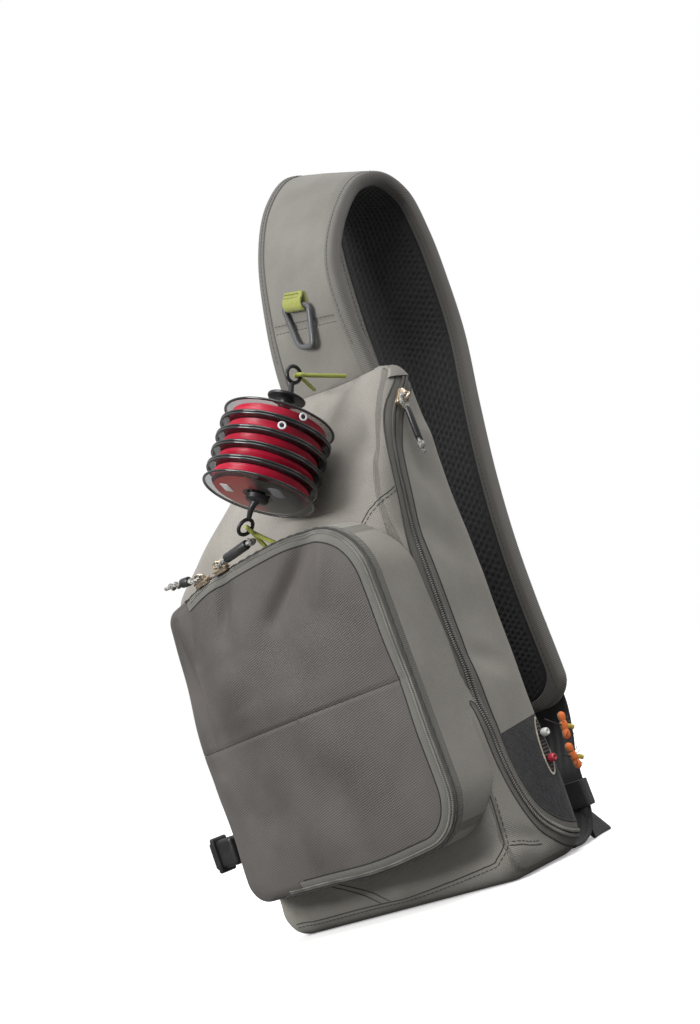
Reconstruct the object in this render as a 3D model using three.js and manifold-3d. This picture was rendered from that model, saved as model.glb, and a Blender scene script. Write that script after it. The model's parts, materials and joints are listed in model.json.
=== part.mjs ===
// Fishing tackle sling bag: a soft zipped body with a raised front pocket, a padded shoulder strap that
// arches over from the top to a webbing at the lower corner, and a stack of line spools hooked on its front.
// Millimetres, +Z up, the pocket faces -Y, the wearer's side faces +Y. The origin is the middle of the base.
import * as THREE from "three";
import { mergeVertices } from "three/addons/utils/BufferGeometryUtils.js";
import Module from "manifold-3d";

const wasm = await Module();
wasm.setup();

// Clearance between neighbouring pieces
const GAP = 0.3;

// Main compartment
const BODY_WIDTH = 207;
const BODY_HEIGHT = 334;
const BODY_DEPTH = 75;
const BODY_WALL = 2.5;
const BODY_CROWN = 2;
const FRONT_EDGE = 16;
const BACK_EDGE = 10;
const LOW_CORNER = 18;
const SHOULDER_CORNER = 28;
const TOP_CORNER = 20;
const BACK_PAD_THICKNESS = 5;
const BACK_PAD_MARGIN = 14;

// Main zip, on the right side, and what lies beside it
const ZIP_WIDTH = 14;
const ZIP_SETBACK = 18;
const COIL_WIDTH = 6;
const COIL_HEIGHT = 1.2;
const GARAGE_LENGTH = 9;
const GARAGE_THICKNESS = 1.6;
const FELT_HEIGHT = 86;
const PORT_LENGTH = 34;
const PORT_WIDTH = 8;
const PORT_RIM = 1.6;
const PORT_HEIGHT = 66;
const PORT_LEAN = 0.14;
const BEAD_RADIUS = 2.6;
const FLY_LENGTH = 17;
const FLY_THICKNESS = 5;

// Front pocket
const POCKET_WIDTH = 175;
const POCKET_HEIGHT = 207;
const POCKET_LIFT = 29;
const POCKET_DEPTH = 31;
const POCKET_WALL = 2;
const POCKET_EDGE = 8;
const POCKET_CROWN = 4;
const POCKET_SHIFT = 14.5;
const POCKET_FLARE = 30;
const BAND_WIDTH = 8;
const SEAM_HEIGHT = 131;

// Padded strap
const STRAP_WIDTH = 80;
const STRAP_RISE = 178;
const STRAP_REACH = 100;
const STRAP_SHIFT = 50;
const COVER_THICKNESS = 5;
const LINING_THICKNESS = 3;
const BINDING_WIDTH = 9;
const BINDING_PROUD = 0.8;
const STRAP_END_CORNER = 22;

// Accessory ring on the strap
const RING_WIDTH = 32;
const RING_LENGTH = 33;
const RING_ROD = 4;
const RING_WEB_WIDTH = 19;
const RING_TAB_LENGTH = 10;
const RING_WEB_THICKNESS = 1.6;

// Black webbing at the lower right corner
const WEB_WIDTH = 38;
const WEB_THICKNESS = 1.8;
const KEEPER_LENGTH = 17;
const KEEPER_WALL = 1.4;
const TAIL_SLANT = 0.35;

// Side release buckle on the left seam
const BUCKLE_LENGTH = 24;
const BUCKLE_WIDTH = 20;
const BUCKLE_THICKNESS = 10;
const BUCKLE_FLANGE = 4;
const BUCKLE_HEIGHT = 66;
const BUCKLE_WEB_LENGTH = 40;
const BUCKLE_WEB_WIDTH = 16;

// Stack of line spools on its spindle
const STACK_ACROSS = 48;
const STACK_CLEARANCE = 2.3;
const STACK_LIFT = 7.8;
const SPOOL_COUNT = 5;
const SPOOL_RADIUS = 35;
const SPOOL_WIDTH = 9.8;
const FLANGE_THICKNESS = 1.3;
const HUB_RADIUS = 20;
const LINE_RADIUS = 30;
const SPINDLE_RADIUS = 4;
const CAP_RADIUS = 12;
const CAP_OFFSET = 15;
const HUB_END = 5;
const HOOK_REACH = 18;
const HOOK_ROD = 2.4;
const EYE_RADIUS = 5.2;
const LOOP_CORD = 2.3;
const UPPER_LOOP_SPREAD = 28;
const LOWER_LOOP_SPREAD = 12;
const LOOP_SINK = 6;

// Zip pulls
const PULL_CORD = 2.6;
const PULL_TUBE_LENGTH = 21;
const PULL_TUBE_RADIUS = 3.1;
const SLIDER_LENGTH = 13;
const SLIDER_WIDTH = 9;
const SLIDER_HEIGHT = 3.2;
const BAIL_RADIUS = 4.2;
const BAIL_ROD = 1.6;
const PULL_LOOP = 3.8;

const BACK_Y = BODY_DEPTH / 2;

// Shape of the bag seen from the front: x as a share of half the width, up as a share of the height.
const BODY_CORNERS = [
  { x: -1, up: 0, radius: LOW_CORNER },
  { x: 1, up: 0, radius: LOW_CORNER },
  { x: 1, up: 0.965, radius: TOP_CORNER },
  { x: 0.02, up: 1, radius: TOP_CORNER },
  { x: -1, up: 0.695, radius: SHOULDER_CORNER },
];

// Depth left at each height, as a share of the full depth: the front leans back to the strap's foot.
const LEAN = [
  { up: 0, depth: 1 },
  { up: 0.69, depth: 1 },
  { up: 0.74, depth: 0.955 },
  { up: 0.8, depth: 0.84 },
  { up: 0.855, depth: 0.68 },
  { up: 0.9, depth: 0.54 },
  { up: 0.94, depth: 0.42 },
  { up: 1, depth: 0.36 },
];

// Line of the main zip on the side: up as a share of the height, back as a share of the depth from the front.
const ZIP_LINE = [
  { up: 0.955, back: 0.9 },
  { up: 0.925, back: 0.86 },
  { up: 0.87, back: 0.595 },
  { up: 0.83, back: 0.475 },
  { up: 0.78, back: 0.38 },
  { up: 0.72, back: 0.31 },
  { up: 0.62, back: 0.24 },
  { up: 0.45, back: 0.24 },
  { up: 0.27, back: 0.28 },
  { up: 0.175, back: 0.32 },
  { up: 0.105, back: 0.43 },
  { up: 0.062, back: 0.6 },
  { up: 0.036, back: 0.82 },
  { up: 0.024, back: 1.15 },
];

// Edges of the strap's outer face. up above 0 is a share of the rise over the bag's top, below 0 a share
// of the bag's height; back is a share of the reach behind the back; left and right are shares of the width.
const STRAP_ROWS = [
  { left: -0.5, leftBack: -0.21, leftUp: -0.04, right: 0.5, rightBack: -0.21, rightUp: -0.08 },
  { left: -0.5, leftBack: -0.2, leftUp: 0.1, right: 0.5, rightBack: -0.24, rightUp: -0.0 },
  { left: -0.5, leftBack: -0.13, leftUp: 0.3, right: 0.5, rightBack: -0.27, rightUp: 0.16 },
  { left: -0.5, leftBack: 0.04, leftUp: 0.58, right: 0.5, rightBack: -0.23, rightUp: 0.34 },
  { left: -0.5, leftBack: 0.3, leftUp: 0.8, right: 0.5, rightBack: 0.02, rightUp: 0.54 },
  { left: -0.48, leftBack: 0.62, leftUp: 0.93, right: 0.5, rightBack: 0.36, rightUp: 0.69 },
  { left: -0.47, leftBack: 0.87, leftUp: 0.92, right: 0.5, rightBack: 0.68, rightUp: 0.72 },
  { left: -0.48, leftBack: 0.98, leftUp: 0.74, right: 0.5, rightBack: 0.88, rightUp: 0.65 },
  { left: -0.5, leftBack: 0.92, leftUp: 0.5, right: 0.5, rightBack: 0.95, rightUp: 0.48 },
  { left: -0.5, leftBack: 0.87, leftUp: 0.26, right: 0.5, rightBack: 0.95, rightUp: 0.28 },
  { left: -0.5, leftBack: 0.87, leftUp: 0.04, right: 0.51, rightBack: 0.9, rightUp: 0.05 },
  { left: -0.47, leftBack: 0.79, leftUp: -0.14, right: 0.54, rightBack: 0.73, rightUp: -0.13 },
  { left: -0.42, leftBack: 0.66, leftUp: -0.28, right: 0.58, rightBack: 0.57, rightUp: -0.28 },
  { left: -0.34, leftBack: 0.52, leftUp: -0.42, right: 0.62, rightBack: 0.46, rightUp: -0.42 },
  { left: -0.24, leftBack: 0.46, leftUp: -0.55, right: 0.65, rightBack: 0.41, rightUp: -0.55 },
  { left: -0.16, leftBack: 0.41, leftUp: -0.65, right: 0.665, rightBack: 0.4, rightUp: -0.65 },
  { left: -0.12, leftBack: 0.41, leftUp: -0.745, right: 0.65, rightBack: 0.42, rightUp: -0.745 },
];

// How far the pocket's left side stands out behind its front edge: depth as a share of the pocket's depth,
// out as a share of the flare. It stands out less at the top.
const POCKET_SIDE = [
  { depth: 0, out: 0 },
  { depth: 0.08, out: 0.22 },
  { depth: 0.26, out: 0.55 },
  { depth: 0.7, out: 0.85 },
  { depth: 1.3, out: 1 },
  { depth: 3, out: 1 },
];
const FLARE_AT_TOP = 0.35;

// Line of the black webbing seen from the side: back as a share of the strap's reach behind the bag's
// back, up as a share of the bag's height.
const ANCHOR_LINE = [
  { back: 0.485, up: 0.448 },
  { back: 0.515, up: 0.432 },
  { back: 0.54, up: 0.41 },
  { back: 0.52, up: 0.38 },
  { back: 0.455, up: 0.345 },
  { back: 0.442, up: 0.3 },
  { back: 0.44, up: 0.25 },
  { back: 0.38, up: 0.19 },
  { back: 0.3, up: 0.14 },
  { back: 0.285, up: 0.115 },
  { back: 0.285, up: 0.087 },
  { back: 0.282, up: 0.055 },
  { back: 0.22, up: 0.022 },
  { back: 0.12, up: 0.0075 },
  { back: 0.0, up: 0.0065 },
];
const KEEPER_ROW = 10;
const TAIL_LINE = [
  { back: 0.36, up: 0.155 },
  { back: 0.325, up: 0.135 },
  { back: 0.312, up: 0.115 },
  { back: 0.31, up: 0.087 },
  { back: 0.312, up: 0.055 },
  { back: 0.35, up: 0.03 },
  { back: 0.43, up: 0.013 },
  { back: 0.56, up: 0.004 },
];

// Shape of the pocket seen from the front: x as a share of half its width, up as a share of its height,
// and each corner's radius as a share of its width.
const POCKET_CORNERS = [
  { x: -1, up: 0.01, radius: 0.086 },
  { x: 0.2, up: 0, radius: 1.486 },
  { x: 1, up: 0.035, radius: 0.194 },
  { x: 0.99, up: 0.955, radius: 0.229 },
  { x: 0.35, up: 1, radius: 0.914 },
  { x: -0.5, up: 0.985, radius: 0.686 },
  { x: -1, up: 0.94, radius: 0.057 },
];

// Smooth value of a column at a place in a table: a cubic through the rows, its slopes from their neighbours.
function follow(rows, from, to, at) {
  const sign = Math.sign(rows[rows.length - 1][from] - rows[0][from]);
  let i = rows.findIndex((row) => sign * (row[from] - at) > 0) - 1;
  if (i === -2) i = rows.length - 2;
  i = Math.max(0, Math.min(rows.length - 2, i));
  const slope = (k) => {
    const a = rows[Math.max(0, k - 1)];
    const b = rows[Math.min(rows.length - 1, k + 1)];
    return (b[to] - a[to]) / (b[from] - a[from]);
  };
  const span = rows[i + 1][from] - rows[i][from];
  const t = THREE.MathUtils.clamp((at - rows[i][from]) / span, 0, 1);
  const h = t * t * (3 - 2 * t);
  const lift = t * (1 - t) * (1 - t) * span * slope(i) - t * t * (1 - t) * span * slope(i + 1);
  return rows[i][to] * (1 - h) + rows[i + 1][to] * h + lift;
}

// A closed geometry as a solid that can be joined and cut, with its faces turned outwards.
function solid(geometry) {
  const bare = geometry.clone();
  bare.deleteAttribute("normal");
  bare.deleteAttribute("uv");
  const merged = mergeVertices(bare, 1e-3);
  const at = merged.attributes.position;
  const index = merged.index.array;
  const [a, b, c] = [new THREE.Vector3(), new THREE.Vector3(), new THREE.Vector3()];
  let volume = 0;
  for (let i = 0; i < index.length; i += 3) {
    a.fromBufferAttribute(at, index[i]);
    b.fromBufferAttribute(at, index[i + 1]);
    c.fromBufferAttribute(at, index[i + 2]);
    volume += a.dot(b.cross(c));
  }
  const triVerts = new Uint32Array(index);
  if (volume < 0) {
    for (let i = 0; i < triVerts.length; i += 3) {
      [triVerts[i + 1], triVerts[i + 2]] = [triVerts[i + 2], triVerts[i + 1]];
    }
  }
  return new wasm.Manifold(new wasm.Mesh({ numProp: 3, vertProperties: at.array, triVerts }));
}

// A solid's surface as a geometry for a mesh.
function surface(made) {
  const mesh = made.getMesh();
  const points = new Float32Array(mesh.numVert * 3);
  for (let i = 0; i < mesh.numVert; i++) {
    points.set(mesh.vertProperties.subarray(i * mesh.numProp, i * mesh.numProp + 3), i * 3);
  }
  const geometry = new THREE.BufferGeometry();
  geometry.setAttribute("position", new THREE.BufferAttribute(points, 3));
  geometry.setIndex(new THREE.BufferAttribute(new Uint32Array(mesh.triVerts), 1));
  geometry.computeVertexNormals();
  return geometry;
}

// The largest body of a solid: a cut at a thin edge can leave specks beside it.
function largest(made) {
  return made.decompose().sort((a, b) => b.volume() - a.volume())[0];
}

// Rings of equal length joined into one closed skin, with a fan at each end.
function loft(rings) {
  const count = rings[0].length;
  const points = rings.flat();
  const middle = (ring) =>
    ring.reduce((sum, p) => sum.add(p), new THREE.Vector3()).divideScalar(count);
  points.push(middle(rings[0]), middle(rings[rings.length - 1]));
  const index = [];
  for (let r = 0; r < rings.length - 1; r++) {
    for (let i = 0; i < count; i++) {
      const a = r * count + i;
      const b = r * count + ((i + 1) % count);
      index.push(a, b, b + count, a, b + count, a + count);
    }
  }
  const last = (rings.length - 1) * count;
  for (let i = 0; i < count; i++) {
    const next = (i + 1) % count;
    index.push(points.length - 2, next, i, points.length - 1, last + i, last + next);
  }
  const geometry = new THREE.BufferGeometry().setFromPoints(points);
  geometry.setIndex(index);
  return geometry;
}

// Points of a convex polygon with its corners rounded to arcs, each arc in a number of steps. Straight
// runs are split so that no piece of them is longer than a limit.
function rounded(corners, steps, longest = Infinity) {
  const path = new THREE.Path();
  corners.forEach((corner, i) => {
    const before = corners[(i + corners.length - 1) % corners.length].at;
    const after = corners[(i + 1) % corners.length].at;
    const back = new THREE.Vector2().subVectors(before, corner.at).normalize();
    const on = new THREE.Vector2().subVectors(after, corner.at).normalize();
    const half = Math.acos(THREE.MathUtils.clamp(back.dot(on), -1, 1)) / 2;
    const middle = back.clone().add(on).setLength(corner.radius / Math.sin(half)).add(corner.at);
    const start = Math.atan2(back.x, -back.y);
    const turn = Math.PI - 2 * half;
    path.absarc(middle.x, middle.y, corner.radius, start, start + turn, false);
  });
  path.closePath();
  const ends = path.getPoints(steps).filter((p, i, all) => i === 0 || p.distanceTo(all[i - 1]) > 0.01);
  if (ends[0].distanceTo(ends[ends.length - 1]) < 0.01) ends.pop();
  return ends.flatMap((p, i) => {
    const next = ends[(i + 1) % ends.length];
    const parts = Math.ceil(p.distanceTo(next) / longest) || 1;
    return Array.from({ length: parts }, (_, k) => p.clone().lerp(next, k / parts));
  });
}

// An outline moved outwards by a distance, each point along its own normal.
function moved(points, distance) {
  return points.map((p, i) => {
    const before = points[(i + points.length - 1) % points.length];
    const after = points[(i + 1) % points.length];
    const along = new THREE.Vector2().subVectors(after, before).normalize();
    return new THREE.Vector2(p.x + along.y * distance, p.y - along.x * distance);
  });
}

// A flat outline, given as across and up, pushed along one axis of the bag between two places.
function slabAlongX(outline, from, to, holes = []) {
  const shape = new THREE.Shape(outline);
  shape.holes = holes.map((hole) => new THREE.Path(hole));
  const geometry = new THREE.ExtrudeGeometry(shape, { depth: to - from, bevelEnabled: false });
  const [x, y, z] = [new THREE.Vector3(0, 1, 0), new THREE.Vector3(0, 0, 1), new THREE.Vector3(1, 0, 0)];
  return geometry.applyMatrix4(new THREE.Matrix4().makeBasis(x, y, z)).translate(from, 0, 0);
}

function slabAlongY(outline, from, to, holes = []) {
  const shape = new THREE.Shape(outline);
  shape.holes = holes.map((hole) => new THREE.Path(hole));
  const geometry = new THREE.ExtrudeGeometry(shape, { depth: to - from, bevelEnabled: false });
  const [x, y, z] = [new THREE.Vector3(1, 0, 0), new THREE.Vector3(0, 0, 1), new THREE.Vector3(0, -1, 0)];
  return geometry.applyMatrix4(new THREE.Matrix4().makeBasis(x, y, z)).translate(0, to, 0);
}

// The closed outline of a strip of a given thickness that follows points, half on each side.
function strip(points, thickness) {
  const side = (half) =>
    points.map((p, i) => {
      const before = points[Math.max(0, i - 1)];
      const after = points[Math.min(points.length - 1, i + 1)];
      const along = new THREE.Vector2().subVectors(after, before).normalize();
      return new THREE.Vector2(p.x - along.y * half, p.y + along.x * half);
    });
  return [...side(thickness / 2), ...side(-thickness / 2).reverse()];
}

// A bag form: a rounded outline seen from the front, with rounded edges to a front and a back skin.
// offset moves the whole skin outwards, or inwards for the inside of a wall.
// bulge(x, y, z) gives how far a point of the skin is pushed out to the left.
function bagForm(form) {
  const { outline, front, back, frontEdge, backEdge, frontCrown, backCrown, offset, scales } = form;
  const { bulge = () => 0, between = [] } = form;
  const edge = moved(outline, offset);
  const centre = edge.reduce((sum, p) => sum.add(p), new THREE.Vector2()).divideScalar(edge.length);
  const quarter = [0, 0.5, 1].map((share) => (share * Math.PI) / 2);
  const ringAt = (inset, scale, depthOf) =>
    moved(edge, -inset).map((p) => {
      const q = p.clone().sub(centre).multiplyScalar(scale).add(centre);
      const y = depthOf(q.y);
      return new THREE.Vector3(q.x - bulge(q.x, y, q.y), y, q.y);
    });
  const rings = [];
  for (const scale of scales.front) {
    const crown = frontCrown * (1 - scale * scale);
    rings.push(ringAt(frontEdge + offset, scale, (z) => front(z) - offset - crown));
  }
  for (const angle of quarter) {
    const radius = frontEdge + offset;
    const sink = radius * (1 - Math.cos(angle));
    rings.push(ringAt(radius * (1 - Math.sin(angle)), 1, (z) => front(z) - offset + sink));
  }
  for (const share of between) {
    rings.push(ringAt(0, 1, (z) => front(z) + frontEdge + share * (back(z) - front(z))));
  }
  for (const angle of [...quarter].reverse()) {
    const radius = backEdge + offset;
    const sink = radius * (1 - Math.cos(angle));
    rings.push(ringAt(radius * (1 - Math.sin(angle)), 1, (z) => back(z) + offset - sink));
  }
  for (const scale of [...scales.back].reverse()) {
    const crown = backCrown * (1 - scale * scale);
    rings.push(ringAt(backEdge + offset, scale, (z) => back(z) + offset + crown));
  }
  return solid(loft(rings));
}

// Front face of the body at a height, before its crown.
function frontY(z) {
  return BACK_Y - BODY_DEPTH * follow(LEAN, "up", "depth", THREE.MathUtils.clamp(z / BODY_HEIGHT, 0, 1));
}

const bodyOutline = rounded(
  BODY_CORNERS.map((corner) => ({
    at: new THREE.Vector2((corner.x * BODY_WIDTH) / 2, corner.up * BODY_HEIGHT),
    radius: corner.radius,
  })),
  3,
  BODY_HEIGHT * 0.17,
);

// The body's outer skin, grown or shrunk by an offset.
function bodySkin(offset) {
  return bagForm({
    outline: bodyOutline,
    front: frontY,
    back: () => BACK_Y,
    frontEdge: FRONT_EDGE,
    backEdge: BACK_EDGE,
    frontCrown: BODY_CROWN,
    backCrown: BODY_CROWN,
    offset,
    scales: { front: [0.5, 0.8], back: [] },
  });
}

// Everything behind the line of the zip, as one block seen from the side.
const FAR = 3 * BODY_HEIGHT;
const zipPoints = ZIP_LINE.map(
  (row) => new THREE.Vector2(-BACK_Y + row.back * BODY_DEPTH, row.up * BODY_HEIGHT),
);
const zipCurve = new THREE.SplineCurve(zipPoints);
const zipPath = zipCurve.getSpacedPoints(15);

function behindZip(gap) {
  const line = strip(zipPath, 2 * gap).slice(0, zipPath.length);
  const top = line[0];
  const bottom = line[line.length - 1];
  const block = [
    new THREE.Vector2(top.x + BODY_DEPTH, FAR),
    new THREE.Vector2(top.x, top.y + TOP_CORNER * 2),
    ...line,
    new THREE.Vector2(FAR, bottom.y),
    new THREE.Vector2(FAR, FAR),
  ];
  return solid(slabAlongX(block, -FAR, FAR));
}

// The band that the zip takes on the right side, of a given half width.
function zipBand(half, from = BODY_WIDTH * 0.25) {
  return solid(slabAlongX(strip(zipPath, 2 * half), from, FAR));
}

const bodyShell = bodySkin(0).subtract(bodySkin(-BODY_WALL));
const group = new THREE.Group();
const finish = (color, roughness, metalness = 0) =>
  new THREE.MeshStandardMaterial({ color, roughness, metalness });
const greyCloth = finish(0x84817a, 0.85);
const darkCloth = finish(0x5f5955, 0.8);
const bandCloth = finish(0x8f8d82, 0.9);
const bindingCloth = finish(0x716d64, 0.9);
const meshCloth = finish(0x1c1c1d, 0.95);
const feltCloth = finish(0x55555b, 1);
const greenCloth = finish(0xa3a83a, 0.8);
const blackWeb = finish(0x1e1f20, 0.85);
const blackPlastic = finish(0x1a1a1b, 0.45);
const greyPlastic = finish(0x55565a, 0.45);
const smokePlastic = finish(0x3a3a3c, 0.25);
const redLine = finish(0xb3122c, 0.45);
const cordCloth = finish(0x9b9a92, 0.9);
const sliderMetal = finish(0x9a8f80, 0.35, 0.9);
const orangeFoam = finish(0xd9682a, 0.8);
const tanLeather = finish(0xb9ad98, 0.8);

function add(name, made, material, parent = group) {
  const mesh = new THREE.Mesh(made.isBufferGeometry ? made : surface(made), material);
  mesh.name = name;
  parent.add(mesh);
  return mesh;
}

// Body: the front shell with the base, the rear shell with the side gusset, the felt patch in the gusset.
const slot = zipBand(ZIP_WIDTH / 2);
const feltTop = FELT_HEIGHT / BODY_HEIGHT;
const feltStart = new THREE.Vector2(
  -BACK_Y + BODY_DEPTH * follow(ZIP_LINE, "up", "back", feltTop),
  FELT_HEIGHT - BODY_DEPTH * 0.07,
);
function feltBlock(gap) {
  const outline = [
    new THREE.Vector2(feltStart.x - BODY_DEPTH, feltStart.y - BODY_DEPTH * 0.1 + gap),
    new THREE.Vector2(BACK_Y - BACK_EDGE * 0.4 + gap, FELT_HEIGHT + gap),
    new THREE.Vector2(BACK_Y - BACK_EDGE * 0.4 + gap, -FAR),
    new THREE.Vector2(feltStart.x - BODY_DEPTH, -FAR),
  ];
  return solid(slabAlongX(outline.reverse(), BODY_WIDTH * 0.3, FAR));
}
const rear = bodyShell.intersect(behindZip(GAP / 2)).subtract(slot);
add("body_front", largest(bodyShell.subtract(behindZip(-GAP / 2)).subtract(slot)), greyCloth);
add("body_rear", largest(rear.subtract(feltBlock(GAP))), greyCloth);

const portAt = new THREE.Vector2(BACK_Y - BACK_EDGE, PORT_HEIGHT);
const oval = (width, length) =>
  new THREE.EllipseCurve(portAt.x, portAt.y, width / 2, length / 2, 0, 2 * Math.PI, false, -PORT_LEAN)
    .getPoints(18)
    .slice(0, 18);
const rimWidth = PORT_WIDTH + 2 * PORT_RIM;
const rimLength = PORT_LENGTH + 2 * PORT_RIM;
const portHole = solid(slabAlongX(oval(rimWidth, rimLength), 0, FAR));
const felt = largest(rear.intersect(feltBlock(0)));
const feltPatch = largest(felt.subtract(portHole));
add("felt_patch", feltPatch, feltCloth);
const rimHole = oval(PORT_WIDTH, PORT_LENGTH);
const rimRing = slabAlongX(oval(rimWidth - 2 * GAP, rimLength - 2 * GAP), BODY_WIDTH * 0.3, FAR, [rimHole]);
add("tool_port_rim", felt.intersect(solid(rimRing)), tanLeather);
const portPlug = slabAlongX(oval(PORT_WIDTH - 2 * GAP, PORT_LENGTH - 2 * GAP), BODY_WIDTH * 0.3, FAR);
add("tool_port", felt.intersect(solid(portPlug)), blackPlastic);

// Main zip: the tape fills the slot, the coil stands on it, the garage covers its upper end.
const tape = bodyShell.intersect(zipBand(ZIP_WIDTH / 2 - GAP, BODY_WIDTH * 0.25 + GAP));
add("main_zip_tape", largest(tape), bindingCloth);
const coil = bodySkin(GAP + COIL_HEIGHT).subtract(bodySkin(GAP)).intersect(zipBand(COIL_WIDTH / 2));
const garageFloor = zipPath[0].y - GARAGE_LENGTH;
const aboveGarage = new THREE.Box3(
  new THREE.Vector3(-FAR, -FAR, garageFloor),
  new THREE.Vector3(FAR, FAR, FAR),
);
function block(box) {
  const size = box.getSize(new THREE.Vector3());
  const centre = box.getCenter(new THREE.Vector3());
  return solid(new THREE.BoxGeometry(size.x, size.y, size.z).translate(centre.x, centre.y, centre.z));
}
add("main_zip_coil", largest(coil.subtract(block(aboveGarage))), bindingCloth);
aboveGarage.min.z += GAP;
const garageSheet = bodySkin(GAP + GARAGE_THICKNESS).subtract(bodySkin(GAP));
aboveGarage.max.y = BACK_Y - GAP;
const garage = garageSheet.intersect(zipBand(ZIP_WIDTH * 0.8, BODY_WIDTH * 0.36));

// Back pad: a padded panel on the wearer's side.
const padOutline = moved(bodyOutline, -BACK_PAD_MARGIN);
const padZone = solid(slabAlongY(padOutline, 0, FAR));
const padSheet = bodySkin(GAP + BACK_PAD_THICKNESS).subtract(bodySkin(GAP));
const padBehind = new THREE.Box3(
  new THREE.Vector3(-FAR, BACK_Y - BACK_EDGE * 0.5, -FAR),
  new THREE.Vector3(FAR, FAR, FAR),
);
const padSheetSpace = bodySkin(2 * GAP + BACK_PAD_THICKNESS).intersect(padZone).intersect(block(padBehind));
add("back_pad", largest(padSheet.intersect(padZone).intersect(block(padBehind))), meshCloth);

// Front pocket: a closed form whose back is the body's own front.
const pocketLeft = POCKET_SHIFT - POCKET_WIDTH / 2;
const pocketRight = POCKET_SHIFT + POCKET_WIDTH / 2;
const pocketTop = POCKET_LIFT + POCKET_HEIGHT;
const pocketFront = -BACK_Y - POCKET_DEPTH;
const pocketOutline = rounded(
  POCKET_CORNERS.map((corner) => ({
    at: new THREE.Vector2(
      POCKET_SHIFT + (corner.x * POCKET_WIDTH) / 2,
      POCKET_LIFT + corner.up * POCKET_HEIGHT,
    ),
    radius: corner.radius * POCKET_WIDTH,
  })),
  3,
  POCKET_HEIGHT * 0.4,
);
function pocketBulge(x, y, z) {
  const toLeft = THREE.MathUtils.smoothstep((POCKET_SHIFT - x) / (POCKET_WIDTH / 2), 0.2, 0.96);
  const depth = Math.max(0, (y - pocketFront) / POCKET_DEPTH);
  const height = THREE.MathUtils.smoothstep((z - POCKET_LIFT) / POCKET_HEIGHT, 0.45, 1);
  const fullness = 1 - height * (1 - FLARE_AT_TOP);
  return toLeft * POCKET_FLARE * follow(POCKET_SIDE, "depth", "out", depth) * fullness;
}
function pocketSkin(offset, backY) {
  return bagForm({
    outline: pocketOutline,
    front: () => pocketFront,
    back: () => backY,
    frontEdge: POCKET_EDGE,
    backEdge: POCKET_EDGE,
    frontCrown: POCKET_CROWN,
    backCrown: 0,
    offset,
    scales: { front: [0.6], back: [] },
    bulge: pocketBulge,
    between: [0.12, 0.3],
  });
}
const pocketShell = pocketSkin(0, 0)
  .subtract(pocketSkin(-POCKET_WALL, BACK_EDGE))
  .subtract(bodySkin(GAP));

// Door of the pocket seen from the front: it stops short of the zip band on three sides and wraps the left.
const HINGE_TOP = 0.1;
const HINGE_BOTTOM = 0.22;
function doorZone(gap) {
  const line = [HINGE_BOTTOM, HINGE_TOP].map((share) => pocketLeft + POCKET_WIDTH * share + gap);
  const hinge = [
    new THREE.Vector2(-FAR, 0),
    new THREE.Vector2(line[0], 0),
    new THREE.Vector2(line[1], pocketTop),
    new THREE.Vector2(line[1], FAR),
    new THREE.Vector2(-FAR, FAR),
  ];
  const inside = solid(slabAlongY(moved(pocketOutline, gap - BAND_WIDTH), -FAR, FAR));
  return inside.add(solid(slabAlongY(hinge, -FAR, FAR)));
}
const bandBack = pocketFront + POCKET_EDGE + POCKET_WALL;
const inFront = (y, low, high) =>
  block(new THREE.Box3(new THREE.Vector3(-FAR, -FAR, low), new THREE.Vector3(FAR, y, high)));
const hingeWall = pocketLeft + POCKET_WALL;
const leftStrip = (gap) =>
  block(new THREE.Box3(new THREE.Vector3(-FAR, -FAR, -FAR), new THREE.Vector3(hingeWall + gap, FAR, FAR)));
const doorShell = pocketShell
  .intersect(doorZone(0).intersect(inFront(bandBack, -FAR, FAR)).add(leftStrip(0)));
add("pocket_panel_upper", largest(doorShell.intersect(inFront(FAR, SEAM_HEIGHT + GAP / 2, FAR))), darkCloth);
add("pocket_panel_lower", largest(doorShell.intersect(inFront(FAR, -FAR, SEAM_HEIGHT - GAP / 2))), darkCloth);
const ringShell = pocketShell.subtract(leftStrip(GAP));
add(
  "pocket_zip_band",
  largest(ringShell.intersect(inFront(bandBack, -FAR, FAR)).subtract(doorZone(GAP))),
  bandCloth,
);
add("pocket_gusset", largest(ringShell.subtract(inFront(bandBack + GAP, -FAR, FAR))), greyCloth);

// Strap: two edge curves, and frames between them.
const strapPoint = (across, back, up) =>
  new THREE.Vector3(
    STRAP_SHIFT + across * STRAP_WIDTH,
    BACK_Y + back * STRAP_REACH,
    BODY_HEIGHT + up * (up > 0 ? STRAP_RISE : BODY_HEIGHT),
  );
const leftEdge = new THREE.CatmullRomCurve3(
  STRAP_ROWS.map((row) => strapPoint(row.left, row.leftBack, row.leftUp)),
);
const rightEdge = new THREE.CatmullRomCurve3(
  STRAP_ROWS.map((row) => strapPoint(row.right, row.rightBack, row.rightUp)),
);
const strapLength = (leftEdge.getLength() + rightEdge.getLength()) / 2;

// Place on the strap: along from 0 at the foot to 1 at the lower end, with its across, outward and run ways.
function strapFrame(along) {
  const left = leftEdge.getPoint(along);
  const right = rightEdge.getPoint(along);
  const run = leftEdge.getTangent(along).add(rightEdge.getTangent(along)).normalize();
  const across = new THREE.Vector3().subVectors(right, left).normalize();
  const out = new THREE.Vector3().crossVectors(across, run).normalize();
  return { left, right, run, across, out, width: left.distanceTo(right) };
}

// Ring across the strap at one place, from a distance inside each edge, between two levels over its middle.
function strapRing(along, inset, low, high) {
  const f = strapFrame(along);
  const half = f.width / 2 - inset;
  const middle = f.left.clone().lerp(f.right, 0.5);
  const corner = (u, n) => middle.clone().addScaledVector(f.across, u).addScaledVector(f.out, n);
  const shares = [-1, 0, 1];
  const over = shares.map((u) => corner(u * half, low));
  const under = [...shares].reverse().map((u) => corner(u * half, high));
  return [...over, ...under];
}

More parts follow.
